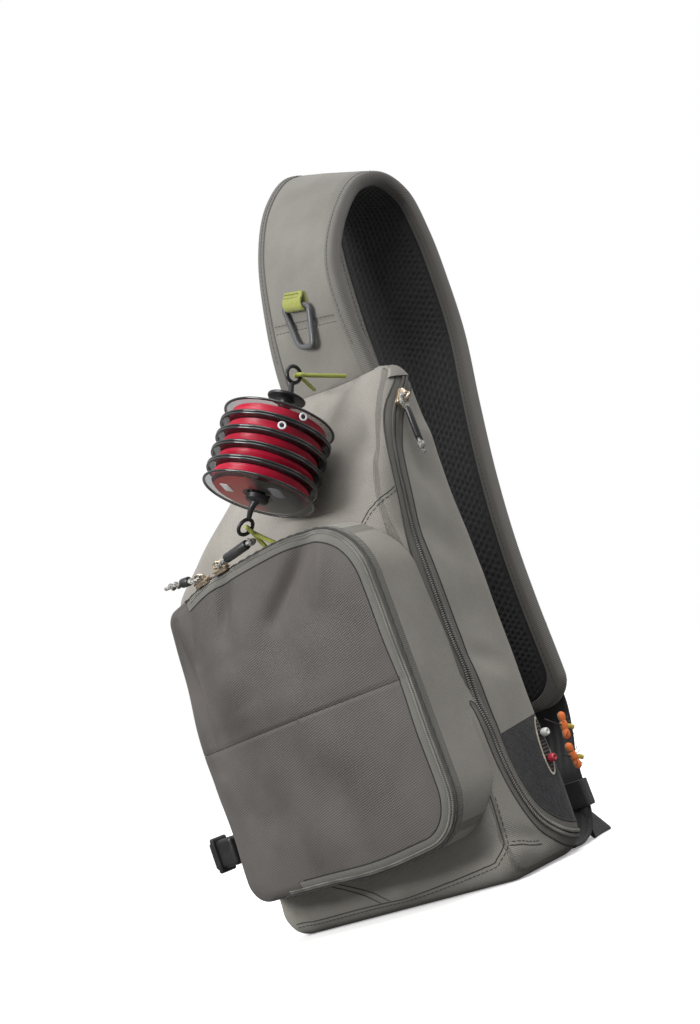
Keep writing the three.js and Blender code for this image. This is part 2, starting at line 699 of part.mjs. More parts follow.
// Stations along the strap, closer together at its rounded lower end, with the inset that rounds it.
const STRAP_STATIONS = 32;
function strapStations(edge, stop) {
  const end = 1 - stop / strapLength;
  const roundFrom = end - STRAP_END_CORNER / strapLength;
  const stations = [];
  for (let i = 0; i <= STRAP_STATIONS; i++) {
    stations.push({ along: (roundFrom * i) / STRAP_STATIONS, inset: edge });
  }
  for (const share of [0.3, 0.6, 0.85, 0.97]) {
    const inset = edge + STRAP_END_CORNER * (1 - Math.sqrt(1 - share * share));
    stations.push({ along: roundFrom + (end - roundFrom) * share, inset });
  }
  return stations;
}
const coverLow = -COVER_THICKNESS;
const liningLow = coverLow - LINING_THICKNESS;
function strapLayer(low, high) {
  const stations = strapStations(BINDING_WIDTH + 2 * GAP, BINDING_WIDTH + 2 * GAP);
  return solid(loft(stations.map((s) => strapRing(s.along, s.inset, low, high))));
}

// Binding round the strap's edge: down the left edge, round the lower end and up the right edge.
function strapBinding(grow = 0) {
  const low = liningLow - BINDING_PROUD - grow;
  const high = BINDING_PROUD + grow;
  const outer = strapStations(-grow, -grow);
  const inner = strapStations(BINDING_WIDTH + grow, BINDING_WIDTH + grow);
  const section = (o, i, side) => {
    const place = (s, n) => {
      const f = strapFrame(s.along);
      const half = f.width / 2 - s.inset;
      const middle = f.left.clone().lerp(f.right, 0.5);
      return middle.addScaledVector(f.across, side * half).addScaledVector(f.out, n);
    };
    const mid = (a, b, share) => a.clone().lerp(b, share);
    const [oLow, oHigh, iLow, iHigh] = [place(o, low), place(o, high), place(i, low), place(i, high)];
    const nose = mid(oLow, oHigh, 0.5);
    const tip = nose.lerp(mid(iLow, iHigh, 0.5), -0.06);
    return [iLow, mid(iLow, oLow, 0.7), tip, mid(iHigh, oHigh, 0.7), iHigh];
  };
  const left = outer.map((o, k) => section(o, inner[k], -1));
  const right = outer.map((o, k) => section(o, inner[k], 1)).reverse();
  return solid(loft([...left, ...right]));
}
const strapKeepOut = bodySkin(GAP);
const strapSpace = strapLayer(liningLow, GAP).add(strapBinding(GAP));
const cover = strapLayer(coverLow + GAP / 2, 0);
const lining = strapLayer(coverLow - GAP / 2, liningLow);
add("zip_garage", largest(garage.intersect(block(aboveGarage)).subtract(strapSpace)), greyCloth);
add("strap_cover", largest(cover.subtract(strapKeepOut)), greyCloth);
add("strap_lining", largest(lining.subtract(strapKeepOut)), meshCloth);
const padding = strapBinding().subtract(strapKeepOut);
add("strap_binding", largest(padding), bindingCloth);

// Green tab and accessory ring on the strap's outer face. Their own axes: x across, y along, z out.
const RING_ALONG = 0.137;
const ringSeat = strapFrame(RING_ALONG);
const ringLift = RING_WEB_THICKNESS + RING_ROD / 2 + 2 * GAP;
const ringFrame = new THREE.Matrix4()
  .makeBasis(ringSeat.across, ringSeat.run, ringSeat.out)
  .setPosition(ringSeat.left.clone().lerp(ringSeat.right, 0.5).addScaledVector(ringSeat.out, ringLift));
const ringOutside = rounded(
  [
    { at: new THREE.Vector2(-RING_WIDTH / 2, RING_ROD / 2), radius: RING_ROD * 1.3 },
    { at: new THREE.Vector2(-RING_WIDTH * 0.28, RING_ROD / 2 - RING_LENGTH), radius: RING_WIDTH * 0.24 },
    { at: new THREE.Vector2(RING_WIDTH * 0.28, RING_ROD / 2 - RING_LENGTH), radius: RING_WIDTH * 0.24 },
    { at: new THREE.Vector2(RING_WIDTH / 2, RING_ROD / 2), radius: RING_ROD * 1.3 },
  ],
  4,
);
const ringShape = new THREE.Shape(ringOutside);
ringShape.holes.push(new THREE.Path(moved(ringOutside, -RING_ROD)));
const ringGeometry = new THREE.ExtrudeGeometry(ringShape, { depth: RING_ROD, bevelEnabled: false });
ringGeometry.translate(0, 0, -RING_ROD / 2).applyMatrix4(ringFrame);
add("accessory_ring", solid(ringGeometry).subtract(strapSpace), greyPlastic);
const tabHole = RING_ROD / 2 + GAP;
const tabOuter = tabHole + RING_WEB_THICKNESS;
const tabOutline = rounded(
  [
    { at: new THREE.Vector2(-tabOuter, -tabOuter), radius: tabHole * 0.5 },
    { at: new THREE.Vector2(tabOuter, -tabOuter), radius: tabHole * 0.5 },
    { at: new THREE.Vector2(tabOuter, tabOuter), radius: tabHole * 0.5 },
    { at: new THREE.Vector2(-tabOuter * 0.5, RING_TAB_LENGTH), radius: RING_WEB_THICKNESS * 0.37 },
    { at: new THREE.Vector2(-tabOuter - RING_WEB_THICKNESS, RING_TAB_LENGTH), radius: RING_WEB_THICKNESS * 0.37 },
  ],
  3,
);
const tabBar = [-1, 1, 1, -1].map(
  (side, i) => new THREE.Vector2(side * tabHole, (i < 2 ? -1 : 1) * tabHole),
);
const tabShape = new THREE.Shape(tabOutline);
tabShape.holes.push(new THREE.Path(tabBar));
const tabGeometry = new THREE.ExtrudeGeometry(tabShape, { depth: RING_WEB_WIDTH, bevelEnabled: false });
tabGeometry.translate(0, 0, -RING_WEB_WIDTH / 2).rotateY(Math.PI / 2).scale(1, 1, -1);
add("green_tab", largest(solid(tabGeometry.applyMatrix4(ringFrame)).subtract(strapSpace)), greenCloth);

// Black webbing: sewn to the strap's outer face, it bulges, runs down behind the strap's end and turns in
// under the bag's lower corner. Its tail lies outside it, under a keeper, and rests on the ground.
const webRight = STRAP_SHIFT + STRAP_WIDTH * 0.525;
const webLeft = webRight - WEB_WIDTH;
const sidePoint = (back, up) => new THREE.Vector2(BACK_Y + back * STRAP_REACH, up * BODY_HEIGHT);
const anchorPath = new THREE.SplineCurve(ANCHOR_LINE.map((row) => sidePoint(row.back, row.up)));
const anchorWeb = slabAlongX(strip(anchorPath.getSpacedPoints(34), WEB_THICKNESS), webLeft, webRight);
const tailPath = new THREE.SplineCurve(TAIL_LINE.map((row) => sidePoint(row.back, row.up)));
const tailWeb = slabAlongX(strip(tailPath.getSpacedPoints(14), WEB_THICKNESS), webLeft, webRight);
const tailCut = new THREE.Vector3(TAIL_SLANT, -1, 0).normalize();
const tailTip = new THREE.Vector3(webRight, tailPath.points[tailPath.points.length - 1].x, 0);
add(
  "anchor_webbing",
  largest(solid(anchorWeb).subtract(bodySkin(GAP)).subtract(padSheetSpace).subtract(strapSpace)),
  blackWeb,
);
add("tail_webbing", solid(tailWeb).trimByPlane(tailCut.toArray(), tailCut.dot(tailTip)), blackWeb);

const box = (x0, x1, y0, y1, z0, z1) =>
  new THREE.Box3(new THREE.Vector3(x0, y0, z0), new THREE.Vector3(x1, y1, z1));
const keeperAt = sidePoint(ANCHOR_LINE[KEEPER_ROW].back, ANCHOR_LINE[KEEPER_ROW].up);
const keeperHole = box(
  webLeft - GAP,
  webRight + GAP,
  keeperAt.x - WEB_THICKNESS / 2 - GAP,
  keeperAt.x + WEB_THICKNESS * 1.5 + 5 * GAP,
  keeperAt.y - KEEPER_LENGTH,
  keeperAt.y + KEEPER_LENGTH,
);
const keeperOuter = keeperHole
  .clone()
  .expandByVector(new THREE.Vector3(KEEPER_WALL, KEEPER_WALL, -KEEPER_LENGTH / 2));
add("web_keeper", block(keeperOuter).subtract(block(keeperHole)), blackWeb);

// Side release buckle, its half on a short web from the left seam.
const seamY = -BACK_Y + BODY_DEPTH * follow(ZIP_LINE, "up", "back", BUCKLE_HEIGHT / BODY_HEIGHT);
const buckleY = seamY + BUCKLE_THICKNESS * 0.5;
const webEnd = -BODY_WIDTH / 2 - BUCKLE_WEB_LENGTH;
const buckleWeb = box(
  webEnd, -BODY_WIDTH / 2 + BODY_WALL * 4, buckleY - WEB_THICKNESS / 2, buckleY + WEB_THICKNESS / 2,
  BUCKLE_HEIGHT - BUCKLE_WEB_WIDTH / 2, BUCKLE_HEIGHT + BUCKLE_WEB_WIDTH / 2,
);
add("buckle_web", largest(block(buckleWeb).subtract(bodySkin(GAP))), blackWeb);
const mouth = BUCKLE_THICKNESS - BUCKLE_FLANGE;
const buckleX = webEnd - GAP;
const buckleBody = block(box(
  buckleX - BUCKLE_LENGTH, buckleX, buckleY - BUCKLE_THICKNESS / 2, buckleY + BUCKLE_THICKNESS / 2,
  BUCKLE_HEIGHT - BUCKLE_WIDTH / 2, BUCKLE_HEIGHT + BUCKLE_WIDTH / 2,
));
const flange = block(box(
  buckleX - BUCKLE_LENGTH * 0.8, buckleX - BUCKLE_LENGTH * 0.8 + BUCKLE_FLANGE,
  buckleY - BUCKLE_THICKNESS * 0.7, buckleY + BUCKLE_THICKNESS * 0.7,
  BUCKLE_HEIGHT - BUCKLE_WIDTH * 0.62, BUCKLE_HEIGHT + BUCKLE_WIDTH * 0.62,
));
const socket = block(box(
  -FAR, buckleX - BUCKLE_LENGTH * 0.3, buckleY - mouth / 2, buckleY + mouth / 2,
  BUCKLE_HEIGHT - BUCKLE_WIDTH * 0.36, BUCKLE_HEIGHT + BUCKLE_WIDTH * 0.36,
));
add("side_buckle", buckleBody.add(flange).subtract(socket), blackPlastic);

// Spool stack: its axis leans with the front of the bag. Its own axes: y down the axis from the top flange.
const stackAxis = new THREE.Vector3(-0.289, -0.508, -0.811).normalize();
const stackLength = SPOOL_COUNT * SPOOL_WIDTH - GAP;
const stackHalf = stackLength / 2;

// The stack's lowest rim clears the pocket's top, and its nearest rim clears the leaning front of the body.
const stackDrop = -stackAxis.z * stackHalf + Math.hypot(stackAxis.x, stackAxis.y) * SPOOL_RADIUS;
const stackHeight = pocketTop + STACK_LIFT + stackDrop;
const toBody = new THREE.Vector3(0, 1, 0).projectOnPlane(stackAxis).setLength(SPOOL_RADIUS);
const stackReach = [-1, -0.5, 0, 0.5, 1].map((end) => {
  const rim = toBody.clone().addScaledVector(stackAxis, end * stackHalf);
  return rim.y - frontY(stackHeight + rim.z);
});
const stack = new THREE.Group();
stack.position.set(STACK_ACROSS, -Math.max(...stackReach) - STACK_CLEARANCE, stackHeight);
stack.position.addScaledVector(stackAxis, -stackHalf);
stack.quaternion.setFromUnitVectors(new THREE.Vector3(0, 1, 0), stackAxis);
stack.updateMatrix();
group.add(stack);
const SPOOL_SIDES = 14;
function turned(profile, sides = SPOOL_SIDES) {
  return new THREE.LatheGeometry(profile.map(([r, y]) => new THREE.Vector2(r, y)), sides);
}
for (let i = 0; i < SPOOL_COUNT; i++) {
  const low = i * SPOOL_WIDTH;
  const high = low + SPOOL_WIDTH - GAP;
  const bore = SPINDLE_RADIUS + GAP;
  const spool = turned([
    [bore, low], [SPOOL_RADIUS, low], [SPOOL_RADIUS, low + FLANGE_THICKNESS],
    [HUB_RADIUS, low + FLANGE_THICKNESS], [HUB_RADIUS, high - FLANGE_THICKNESS],
    [SPOOL_RADIUS, high - FLANGE_THICKNESS], [SPOOL_RADIUS, high], [bore, high], [bore, low],
  ]);
  add(`spool_${i + 1}`, solid(spool), smokePlastic, stack);
  const wound = turned([
    [HUB_RADIUS + GAP, low + FLANGE_THICKNESS + GAP], [LINE_RADIUS, low + FLANGE_THICKNESS + GAP],
    [LINE_RADIUS, high - FLANGE_THICKNESS - GAP], [HUB_RADIUS + GAP, high - FLANGE_THICKNESS - GAP],
    [HUB_RADIUS + GAP, low + FLANGE_THICKNESS + GAP],
  ]);
  add(`wound_line_${i + 1}`, solid(wound), redLine, stack);
}

// Rod of round section along points, a straight bar, and a ring of rod with its axis along a direction.
function rod(points, diameter, steps, sides = 6) {
  const path = new THREE.CatmullRomCurve3(points);
  const round = new THREE.EllipseCurve(0, 0, diameter / 2, diameter / 2).getPoints(sides).slice(0, sides);
  const options = { steps, extrudePath: path, bevelEnabled: false };
  return solid(new THREE.ExtrudeGeometry(new THREE.Shape(round), options));
}
function bar(from, to, diameter, sides = 6) {
  const run = new THREE.Vector3().subVectors(to, from);
  const made = new THREE.CylinderGeometry(diameter / 2, diameter / 2, run.length(), sides);
  const turn = new THREE.Quaternion().setFromUnitVectors(new THREE.Vector3(0, 1, 0), run.normalize());
  const middle = from.clone().lerp(to, 0.5);
  return solid(made.applyQuaternion(turn).translate(middle.x, middle.y, middle.z));
}
function ringOf(centre, axis, radius, diameter) {
  const made = new THREE.TorusGeometry(radius, diameter / 2, 5, 8);
  const upward = new THREE.Vector3(0, 0, 1);
  const turn = new THREE.Quaternion().setFromUnitVectors(upward, axis.clone().normalize());
  return solid(made.applyQuaternion(turn).translate(centre.x, centre.y, centre.z));
}
const fromStack = (x, y, z) => new THREE.Vector3(x, y, z).applyMatrix4(stack.matrix);
const post = (radius, low, high, sides = 12) =>
  solid(
    new THREE.CylinderGeometry(radius, radius, high - low, sides)
      .translate(0, (low + high) / 2, 0)
      .applyMatrix4(stack.matrix),
  );

// Spindle through the spools, with a cap at the top, a hub at the bottom, and a hook's eye at each end.
const upperEye = fromStack(0, -CAP_OFFSET - HOOK_REACH, 0);
const lowerEye = fromStack(0, stackLength + HOOK_REACH, 0).add(
  new THREE.Vector3(-HOOK_REACH * 0.55, HOOK_REACH * 0.3, 0),
);
const toUpper = fromStack(0, -CAP_OFFSET, 0);
const toLower = fromStack(0, stackLength + HUB_END * 0.5, 0);
const armEnd = (eye, from) => eye.clone().add(from.clone().sub(eye).setLength(EYE_RADIUS));
const eyeAxis = (eye, from) =>
  new THREE.Vector3(1, 0, 0).projectOnPlane(from.clone().sub(eye).normalize()).normalize();
const spindle = post(SPINDLE_RADIUS, -CAP_OFFSET - HOOK_ROD, stackLength + HUB_END)
  .add(post(CAP_RADIUS, -CAP_OFFSET - HOOK_ROD, -CAP_OFFSET, 18))
  .add(post(CAP_RADIUS * 0.6, stackLength + GAP, stackLength + HUB_END, 14))
  .add(bar(toUpper, armEnd(upperEye, toUpper), HOOK_ROD * 1.3))
  .add(bar(toLower, armEnd(lowerEye, toLower), HOOK_ROD * 1.3))
  .add(ringOf(upperEye, eyeAxis(upperEye, toUpper), EYE_RADIUS, HOOK_ROD))
  .add(ringOf(lowerEye, eyeAxis(lowerEye, toLower), EYE_RADIUS, HOOK_ROD));
add("spindle", spindle, blackPlastic);

// Green elastic loops that the two hooks hold on to: from one root through the eye and back to the other.
function elastic(eye, from, roots) {
  const axis = eyeAxis(eye, from);
  const aim = roots[0].clone().lerp(roots[1], 0.5).sub(eye).projectOnPlane(axis).normalize();
  const bar = eye.clone().addScaledVector(aim, EYE_RADIUS);
  const reach = (HOOK_ROD + LOOP_CORD) / 2 + 2 * GAP;
  const round = (angle) =>
    bar.clone().addScaledVector(aim, -reach * Math.cos(angle)).addScaledVector(axis, reach * Math.sin(angle));
  const turn = [-1.9, -1.2, -0.6, 0, 0.6, 1.2, 1.9].map(round);
  return rod([roots[0], ...turn, roots[1]], LOOP_CORD, 20);
}
const topLevel = BODY_HEIGHT * 0.975;
const upperLoop = elastic(upperEye, toUpper, [
  new THREE.Vector3(STACK_ACROSS, BACK_Y - BODY_DEPTH * 0.44, topLevel),
  new THREE.Vector3(STACK_ACROSS + UPPER_LOOP_SPREAD, BACK_Y - BODY_DEPTH * 0.44, topLevel - LOOP_SINK / 2),
]);
add("elastic_loop_upper", largest(upperLoop.subtract(bodySkin(GAP)).subtract(strapSpace)), greenCloth);
const lowerRoot = (side) =>
  new THREE.Vector3(
    lowerEye.x + side * LOWER_LOOP_SPREAD,
    pocketFront + POCKET_DEPTH * 0.35,
    pocketTop - LOOP_SINK,
  );
const lowerLoop = elastic(lowerEye, toLower, [lowerRoot(-0.15), lowerRoot(0.85)]);
add("elastic_loop_lower", largest(lowerLoop.subtract(pocketSkin(GAP, 0))), greenCloth);

// A zip slider with its pull: a bail on the slider, a cord looped through it, a tube on the cord and a knot.
// Axes of the slider: x along the zip, y across it, z out of the cloth.
function zipPull(name, { at, run, out, hang, tube, tail }) {
  const across = new THREE.Vector3().crossVectors(out, run).normalize();
  const frame = new THREE.Matrix4().makeBasis(run, across, out).setPosition(at);
  const low = 2 * GAP + COIL_HEIGHT;
  const top = low + SLIDER_HEIGHT;
  const base = new THREE.Shape(
    rounded(
      [
        { at: new THREE.Vector2(-SLIDER_LENGTH / 2, -SLIDER_WIDTH / 2), radius: SLIDER_WIDTH * 0.33 },
        { at: new THREE.Vector2(SLIDER_LENGTH / 2, -SLIDER_WIDTH * 0.36), radius: SLIDER_WIDTH * 0.22 },
        { at: new THREE.Vector2(SLIDER_LENGTH / 2, SLIDER_WIDTH * 0.36), radius: SLIDER_WIDTH * 0.22 },
        { at: new THREE.Vector2(-SLIDER_LENGTH / 2, SLIDER_WIDTH / 2), radius: SLIDER_WIDTH * 0.33 },
      ],
      2,
    ),
  );
  const plate = new THREE.ExtrudeGeometry(base, { depth: SLIDER_HEIGHT, bevelEnabled: false });
  const bail = solid(new THREE.TorusGeometry(BAIL_RADIUS, BAIL_ROD / 2, 4, 10).rotateX(Math.PI / 2))
    .trimByPlane([0, 0, 1], -BAIL_ROD / 2)
    .translate([0, 0, top]);
  const slider = solid(plate.translate(0, 0, low)).add(bail).transform(frame.elements);
  add(`${name}_slider`, slider, sliderMetal);
  const eye = new THREE.Vector3(0, 0, top + (BAIL_RADIUS - BAIL_ROD / 2) * 0.52).applyMatrix4(frame);
  const drop = hang.clone().projectOnPlane(across).normalize();
  const loopAt = eye.clone().addScaledVector(drop, PULL_LOOP);
  const along = (distance) => loopAt.clone().addScaledVector(hang, distance - PULL_LOOP);
  const ringAxis = new THREE.Vector3().crossVectors(across, drop);
  const ringEnd = 2 * PULL_LOOP;
  const reach = ringEnd + tube + 2 * PULL_CORD;
  const knot = new THREE.IcosahedronGeometry(PULL_CORD * 1.35, 0);
  const knotAt = along(reach);
  const pull = ringOf(along(PULL_LOOP), ringAxis, PULL_LOOP, PULL_CORD * 0.9)
    .add(bar(along(ringEnd - PULL_CORD * 0.3), along(reach + tail), PULL_CORD))
    .add(solid(knot.translate(knotAt.x, knotAt.y, knotAt.z)));
  add(`${name}_pull_cord`, pull, cordCloth);
  if (tube > 0) {
    const from = along(ringEnd + PULL_CORD * 0.6);
    const to = along(ringEnd + PULL_CORD * 0.6 + tube);
    const bore = bar(along(ringEnd), along(reach), PULL_CORD + 3 * GAP);
    const sleeve = bar(from, to, 2 * PULL_TUBE_RADIUS, 12).subtract(bore);
    add(`${name}_pull_tube`, sleeve, greyPlastic);
  }
}
const MAIN_SLIDER_AT = 0.09;
const sliderSpot = zipCurve.getPointAt(MAIN_SLIDER_AT);
const sliderRun = zipCurve.getTangentAt(MAIN_SLIDER_AT);
zipPull("main", {
  at: new THREE.Vector3(BODY_WIDTH / 2, sliderSpot.x, sliderSpot.y),
  run: new THREE.Vector3(0, sliderRun.x, sliderRun.y),
  out: new THREE.Vector3(1, 0, 0),
  hang: new THREE.Vector3(0, 0, -1),
  tube: PULL_TUBE_LENGTH,
  tail: PULL_CORD * 2,
});
const edgeOut = new THREE.Vector3(0, -0.5, 0.866).normalize();
const pocketPulls = [
  { name: "pocket_right", across: -0.16, lift: 0, way: 1, tube: PULL_TUBE_LENGTH, tail: PULL_CORD },
  { name: "pocket_left", across: -0.27, lift: -2, way: -1, tube: PULL_TUBE_LENGTH * 0.35, tail: PULL_CORD * 5 },
];
for (const { name, across, lift, way, tube, tail } of pocketPulls) {
  zipPull(name, {
    at: new THREE.Vector3(
      POCKET_SHIFT + across * POCKET_WIDTH,
      pocketFront + POCKET_EDGE * 0.5,
      pocketTop - POCKET_EDGE * 0.45 + lift,
    ),
    run: new THREE.Vector3(1, 0, 0),
    out: edgeOut,
    hang: new THREE.Vector3(way, 0, 0.1).normalize(),
    tube,
    tail,
  });
}

// Beads in the tool port, and two foam flies stuck in the felt beside it.
const BEADS = [
  { name: "bead_white", up: 0.22, material: finish(0xe8e8e6, 0.4) },
  { name: "bead_red", up: -0.24, material: finish(0xb3203a, 0.5) },
];
for (const { name, up, material } of BEADS) {
  const made = new THREE.IcosahedronGeometry(BEAD_RADIUS, 1);
  const lean = up * PORT_LENGTH * Math.sin(PORT_LEAN);
  made.translate(BODY_WIDTH / 2 + BEAD_RADIUS + GAP, portAt.x + lean, portAt.y + up * PORT_LENGTH);
  add(name, made, material);
}
const FLIES = [
  { name: "fly_upper", up: 0.41, back: 0.53, lean: 0.16, hook: 0.47 },
  { name: "fly_lower", up: -0.71, back: 0.41, lean: -0.2, hook: 0.18 },
];
for (const { name, up, back, lean, hook } of FLIES) {
  const behind = back * FLY_LENGTH;
  const hang = hook * FLY_LENGTH;
  const at = new THREE.Vector3(BODY_WIDTH / 2 + FLY_THICKNESS, BACK_Y + behind, PORT_HEIGHT + up * FLY_LENGTH);
  const from = (y, z) => at.clone().add(new THREE.Vector3(0, y, z));
  const half = FLY_LENGTH / 2;
  const foam = rod([from(lean * half, half), from(0, 0), from(-lean * half, -half)], FLY_THICKNESS, 2, 6);
  const wing = rod([from(0, -half * 0.12), from(half, -half * 0.4)], FLY_THICKNESS * 0.6, 1, 5);
  const bend = from(-behind * 0.7, hang * 0.3);
  const wire = rod([from(0, 0), bend, from(-behind - hang, hang)], FLY_THICKNESS * 0.18, 4, 5);
  add(name, foam.add(wing).add(wire), orangeFoam);
}

export default group;
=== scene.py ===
import json
import math

import bpy
import numpy as np
from mathutils import Matrix, Vector
from mathutils.bvhtree import BVHTree


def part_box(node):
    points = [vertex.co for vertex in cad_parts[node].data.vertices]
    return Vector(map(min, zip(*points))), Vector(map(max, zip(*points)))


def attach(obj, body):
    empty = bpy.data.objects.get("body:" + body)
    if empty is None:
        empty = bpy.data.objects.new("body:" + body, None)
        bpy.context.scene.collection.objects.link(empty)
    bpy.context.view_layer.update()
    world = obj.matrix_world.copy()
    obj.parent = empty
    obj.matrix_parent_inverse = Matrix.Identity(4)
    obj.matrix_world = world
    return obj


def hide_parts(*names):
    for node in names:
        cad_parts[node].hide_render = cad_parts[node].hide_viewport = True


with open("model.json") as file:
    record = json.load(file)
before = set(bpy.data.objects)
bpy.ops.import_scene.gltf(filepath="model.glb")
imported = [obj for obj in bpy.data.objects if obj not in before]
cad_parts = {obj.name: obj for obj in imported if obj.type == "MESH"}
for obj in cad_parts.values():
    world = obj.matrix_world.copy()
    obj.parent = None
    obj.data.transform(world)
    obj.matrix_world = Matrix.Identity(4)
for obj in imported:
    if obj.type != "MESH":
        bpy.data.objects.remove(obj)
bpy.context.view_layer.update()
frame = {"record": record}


# Studio
# A plain pale floor that gives little light back, a broad sun from the right, a window light before the bag's
# front and a sky that is brighter above. The camera is low at the bag's right front corner, and rolled as the
# photograph is.
def deselect():
    if bpy.context.object and bpy.context.object.mode != "OBJECT":
        bpy.ops.object.mode_set(mode="OBJECT")
    bpy.ops.object.select_all(action="DESELECT")


class Socket:
    """A value in a material's node tree: the usual operators on it add Math nodes."""

    def __init__(self, tree, link):
        self.tree = tree
        self.link = link

    def node(self, kind, settings=(), inputs=(), out=0):
        made = self.tree.nodes.new(kind)
        for key, value in dict(settings).items():
            setattr(made, key, value)
        for key, value in dict(inputs).items():
            if isinstance(value, Socket):
                self.tree.links.new(value.link, made.inputs[key])
            else:
                made.inputs[key].default_value = value
        return Socket(self.tree, made.outputs[out])

    def math(self, operation, *values):
        terms = (self, *values)
        return self.node("ShaderNodeMath", {"operation": operation}, dict(enumerate(terms)))

    def __add__(self, other):
        return self.math("ADD", other)

    def __mul__(self, other):
        return self.math("MULTIPLY", other)

    def __sub__(self, other):
        return self.math("SUBTRACT", other)

    def __truediv__(self, other):
        return self.math("DIVIDE", other)

    def __rsub__(self, other):
        return (self * -1) + other

    __radd__ = __add__
    __rmul__ = __mul__

    def between(self, low, high, start=0.0, end=1.0):
        inputs = {"Value": self, "From Min": low, "From Max": high, "To Min": start, "To Max": end}
        return self.node("ShaderNodeMapRange", {"interpolation_type": "SMOOTHSTEP"}, inputs)

    def wave(self, pitch):
        return (self * (2 * math.pi / pitch)).math("SINE")

    def mixed(self, first, second):
        """first where this value is 0, second where it is 1, as colours."""
        inputs = {0: self, 6: first, 7: second}
        inputs = {k: (*v, 1) if isinstance(v, tuple) and len(v) == 3 else v for k, v in inputs.items()}
        return self.node("ShaderNodeMix", {"data_type": "RGBA"}, inputs, out=2)

    def part(self, index):
        return self.node("ShaderNodeSeparateXYZ", (), {0: self}, out=index)


class Finish:
    """A material under way: its shader, its coordinates, and the constants set on the shader."""

    def __init__(self, name, roughness=0.8, metallic=0.0, **constants):
        self.material = bpy.data.materials.new(name)
        self.material.use_nodes = True
        self.tree = self.material.node_tree
        self.shader = self.tree.nodes["Principled BSDF"]
        self.shader.inputs["Roughness"].default_value = roughness
        self.shader.inputs["Metallic"].default_value = metallic
        for key, value in constants.items():
            self.shader.inputs[key.replace("_", " ")].default_value = value
        self.start = Socket(self.tree, None)
        self.place = self.start.node("ShaderNodeTexCoord", out=3)
        self.normal = self.start.node("ShaderNodeTexCoord", out=1)
        self.x, self.y, self.z = (self.place.part(k) for k in range(3))

    def surface(self):
        uv = self.start.node("ShaderNodeTexCoord", out=2)
        return uv.part(0), uv.part(1)

    def noise(self, size, detail=2.0):
        inputs = {"Vector": self.place, "Scale": 1 / size, "Detail": detail}
        return self.start.node("ShaderNodeTexNoise", (), inputs)

    def set(self, **links):
        for key, value in links.items():
            name = key.replace("_", " ")
            if isinstance(value, Socket):
                self.tree.links.new(value.link, self.shader.inputs[name])
            else:
                self.shader.inputs[name].default_value = (*value, 1) if isinstance(value, tuple) else value
        return self

    def raised(self, height, distance=0.001, strength=1.0):
        inputs = {"Height": height, "Distance": distance, "Strength": strength}
        return self.set(Normal=self.start.node("ShaderNodeBump", (), inputs))


FLOOR_SIZE = 30.0
FLOOR_GLOW = 0.3
FLOOR_BOUNCE = 0.16
FLOOR_COLOUR = (0.93, 0.93, 0.925)
SKY_LOW = 0.3
SKY_HIGH = 0.8
SUN_FROM = (0.7, -0.4, 1.5)
SUN_POWER = 1.7
SUN_SPREAD = 36
CAMERA_AT = (0.6723, -0.7475, 0.1024)
CAMERA_RIGHT = (0.6885, 0.6415, -0.3386)
CAMERA_UP = (0.3482, 0.1172, 0.9306)
CAMERA_LENS = 54.9

deselect()
bpy.ops.mesh.primitive_plane_add(size=FLOOR_SIZE)
floor = bpy.context.object
floor.name = "floor"
floor_finish = Finish("floor_finish", roughness=0.95)
seen = floor_finish.start.node("ShaderNodeLightPath")
floor_finish.set(Base_Color=seen.mixed((FLOOR_BOUNCE,) * 3, FLOOR_COLOUR))
floor_finish.set(Emission_Strength=seen * FLOOR_GLOW, Emission_Color=(1.0, 1.0, 1.0))
floor.data.materials.append(floor_finish.material)

bpy.ops.object.camera_add()
camera = bpy.context.object
right, up = Vector(CAMERA_RIGHT), Vector(CAMERA_UP)
turned = Matrix((right, up, right.cross(up))).transposed()
camera.matrix_world = Matrix.Translation(CAMERA_AT) @ turned.to_4x4()
camera.data.lens = CAMERA_LENS
camera.data.clip_start = 0.01
bpy.context.scene.camera = camera

bpy.ops.object.light_add(type="SUN", location=SUN_FROM)
sun = bpy.context.object
sun.data.energy = SUN_POWER
sun.data.angle = math.radians(SUN_SPREAD)
sun.rotation_euler = Vector(SUN_FROM).to_track_quat("Z", "Y").to_euler()
LIGHTS = (
    {"name": "window", "at": (-0.15, -0.95, 0.66), "size": 0.45, "power": 11.0, "aim": (0, -0.05, 0.38)},
    {"name": "back", "at": (0.9, 1.6, 1.2), "size": 1.0, "power": 6.0, "aim": (0, 0, 0.2)},
)
for row in LIGHTS:
    bpy.ops.object.light_add(type="AREA", location=row["at"])
    light = bpy.context.object
    light.name = row["name"]
    light.data.size = row["size"]
    light.data.energy = row["power"]
    light.rotation_euler = (Vector(row["aim"]) - light.location).to_track_quat("-Z", "Y").to_euler()
world = bpy.data.worlds.new("studio")
bpy.context.scene.world = world
world.use_nodes = True
world.node_tree.nodes["Background"].inputs["Color"].default_value = (1, 1, 1, 1)
sky = Socket(world.node_tree, None)
seen = sky.node("ShaderNodeLightPath")
glow = sky.node("ShaderNodeTexCoord").part(2).between(-0.1, 0.9, SKY_LOW, SKY_HIGH)
strength = seen + (1 - seen) * glow
world.node_tree.links.new(strength.link, world.node_tree.nodes["Background"].inputs["Strength"])
bpy.context.scene.view_settings.view_transform = "Standard"


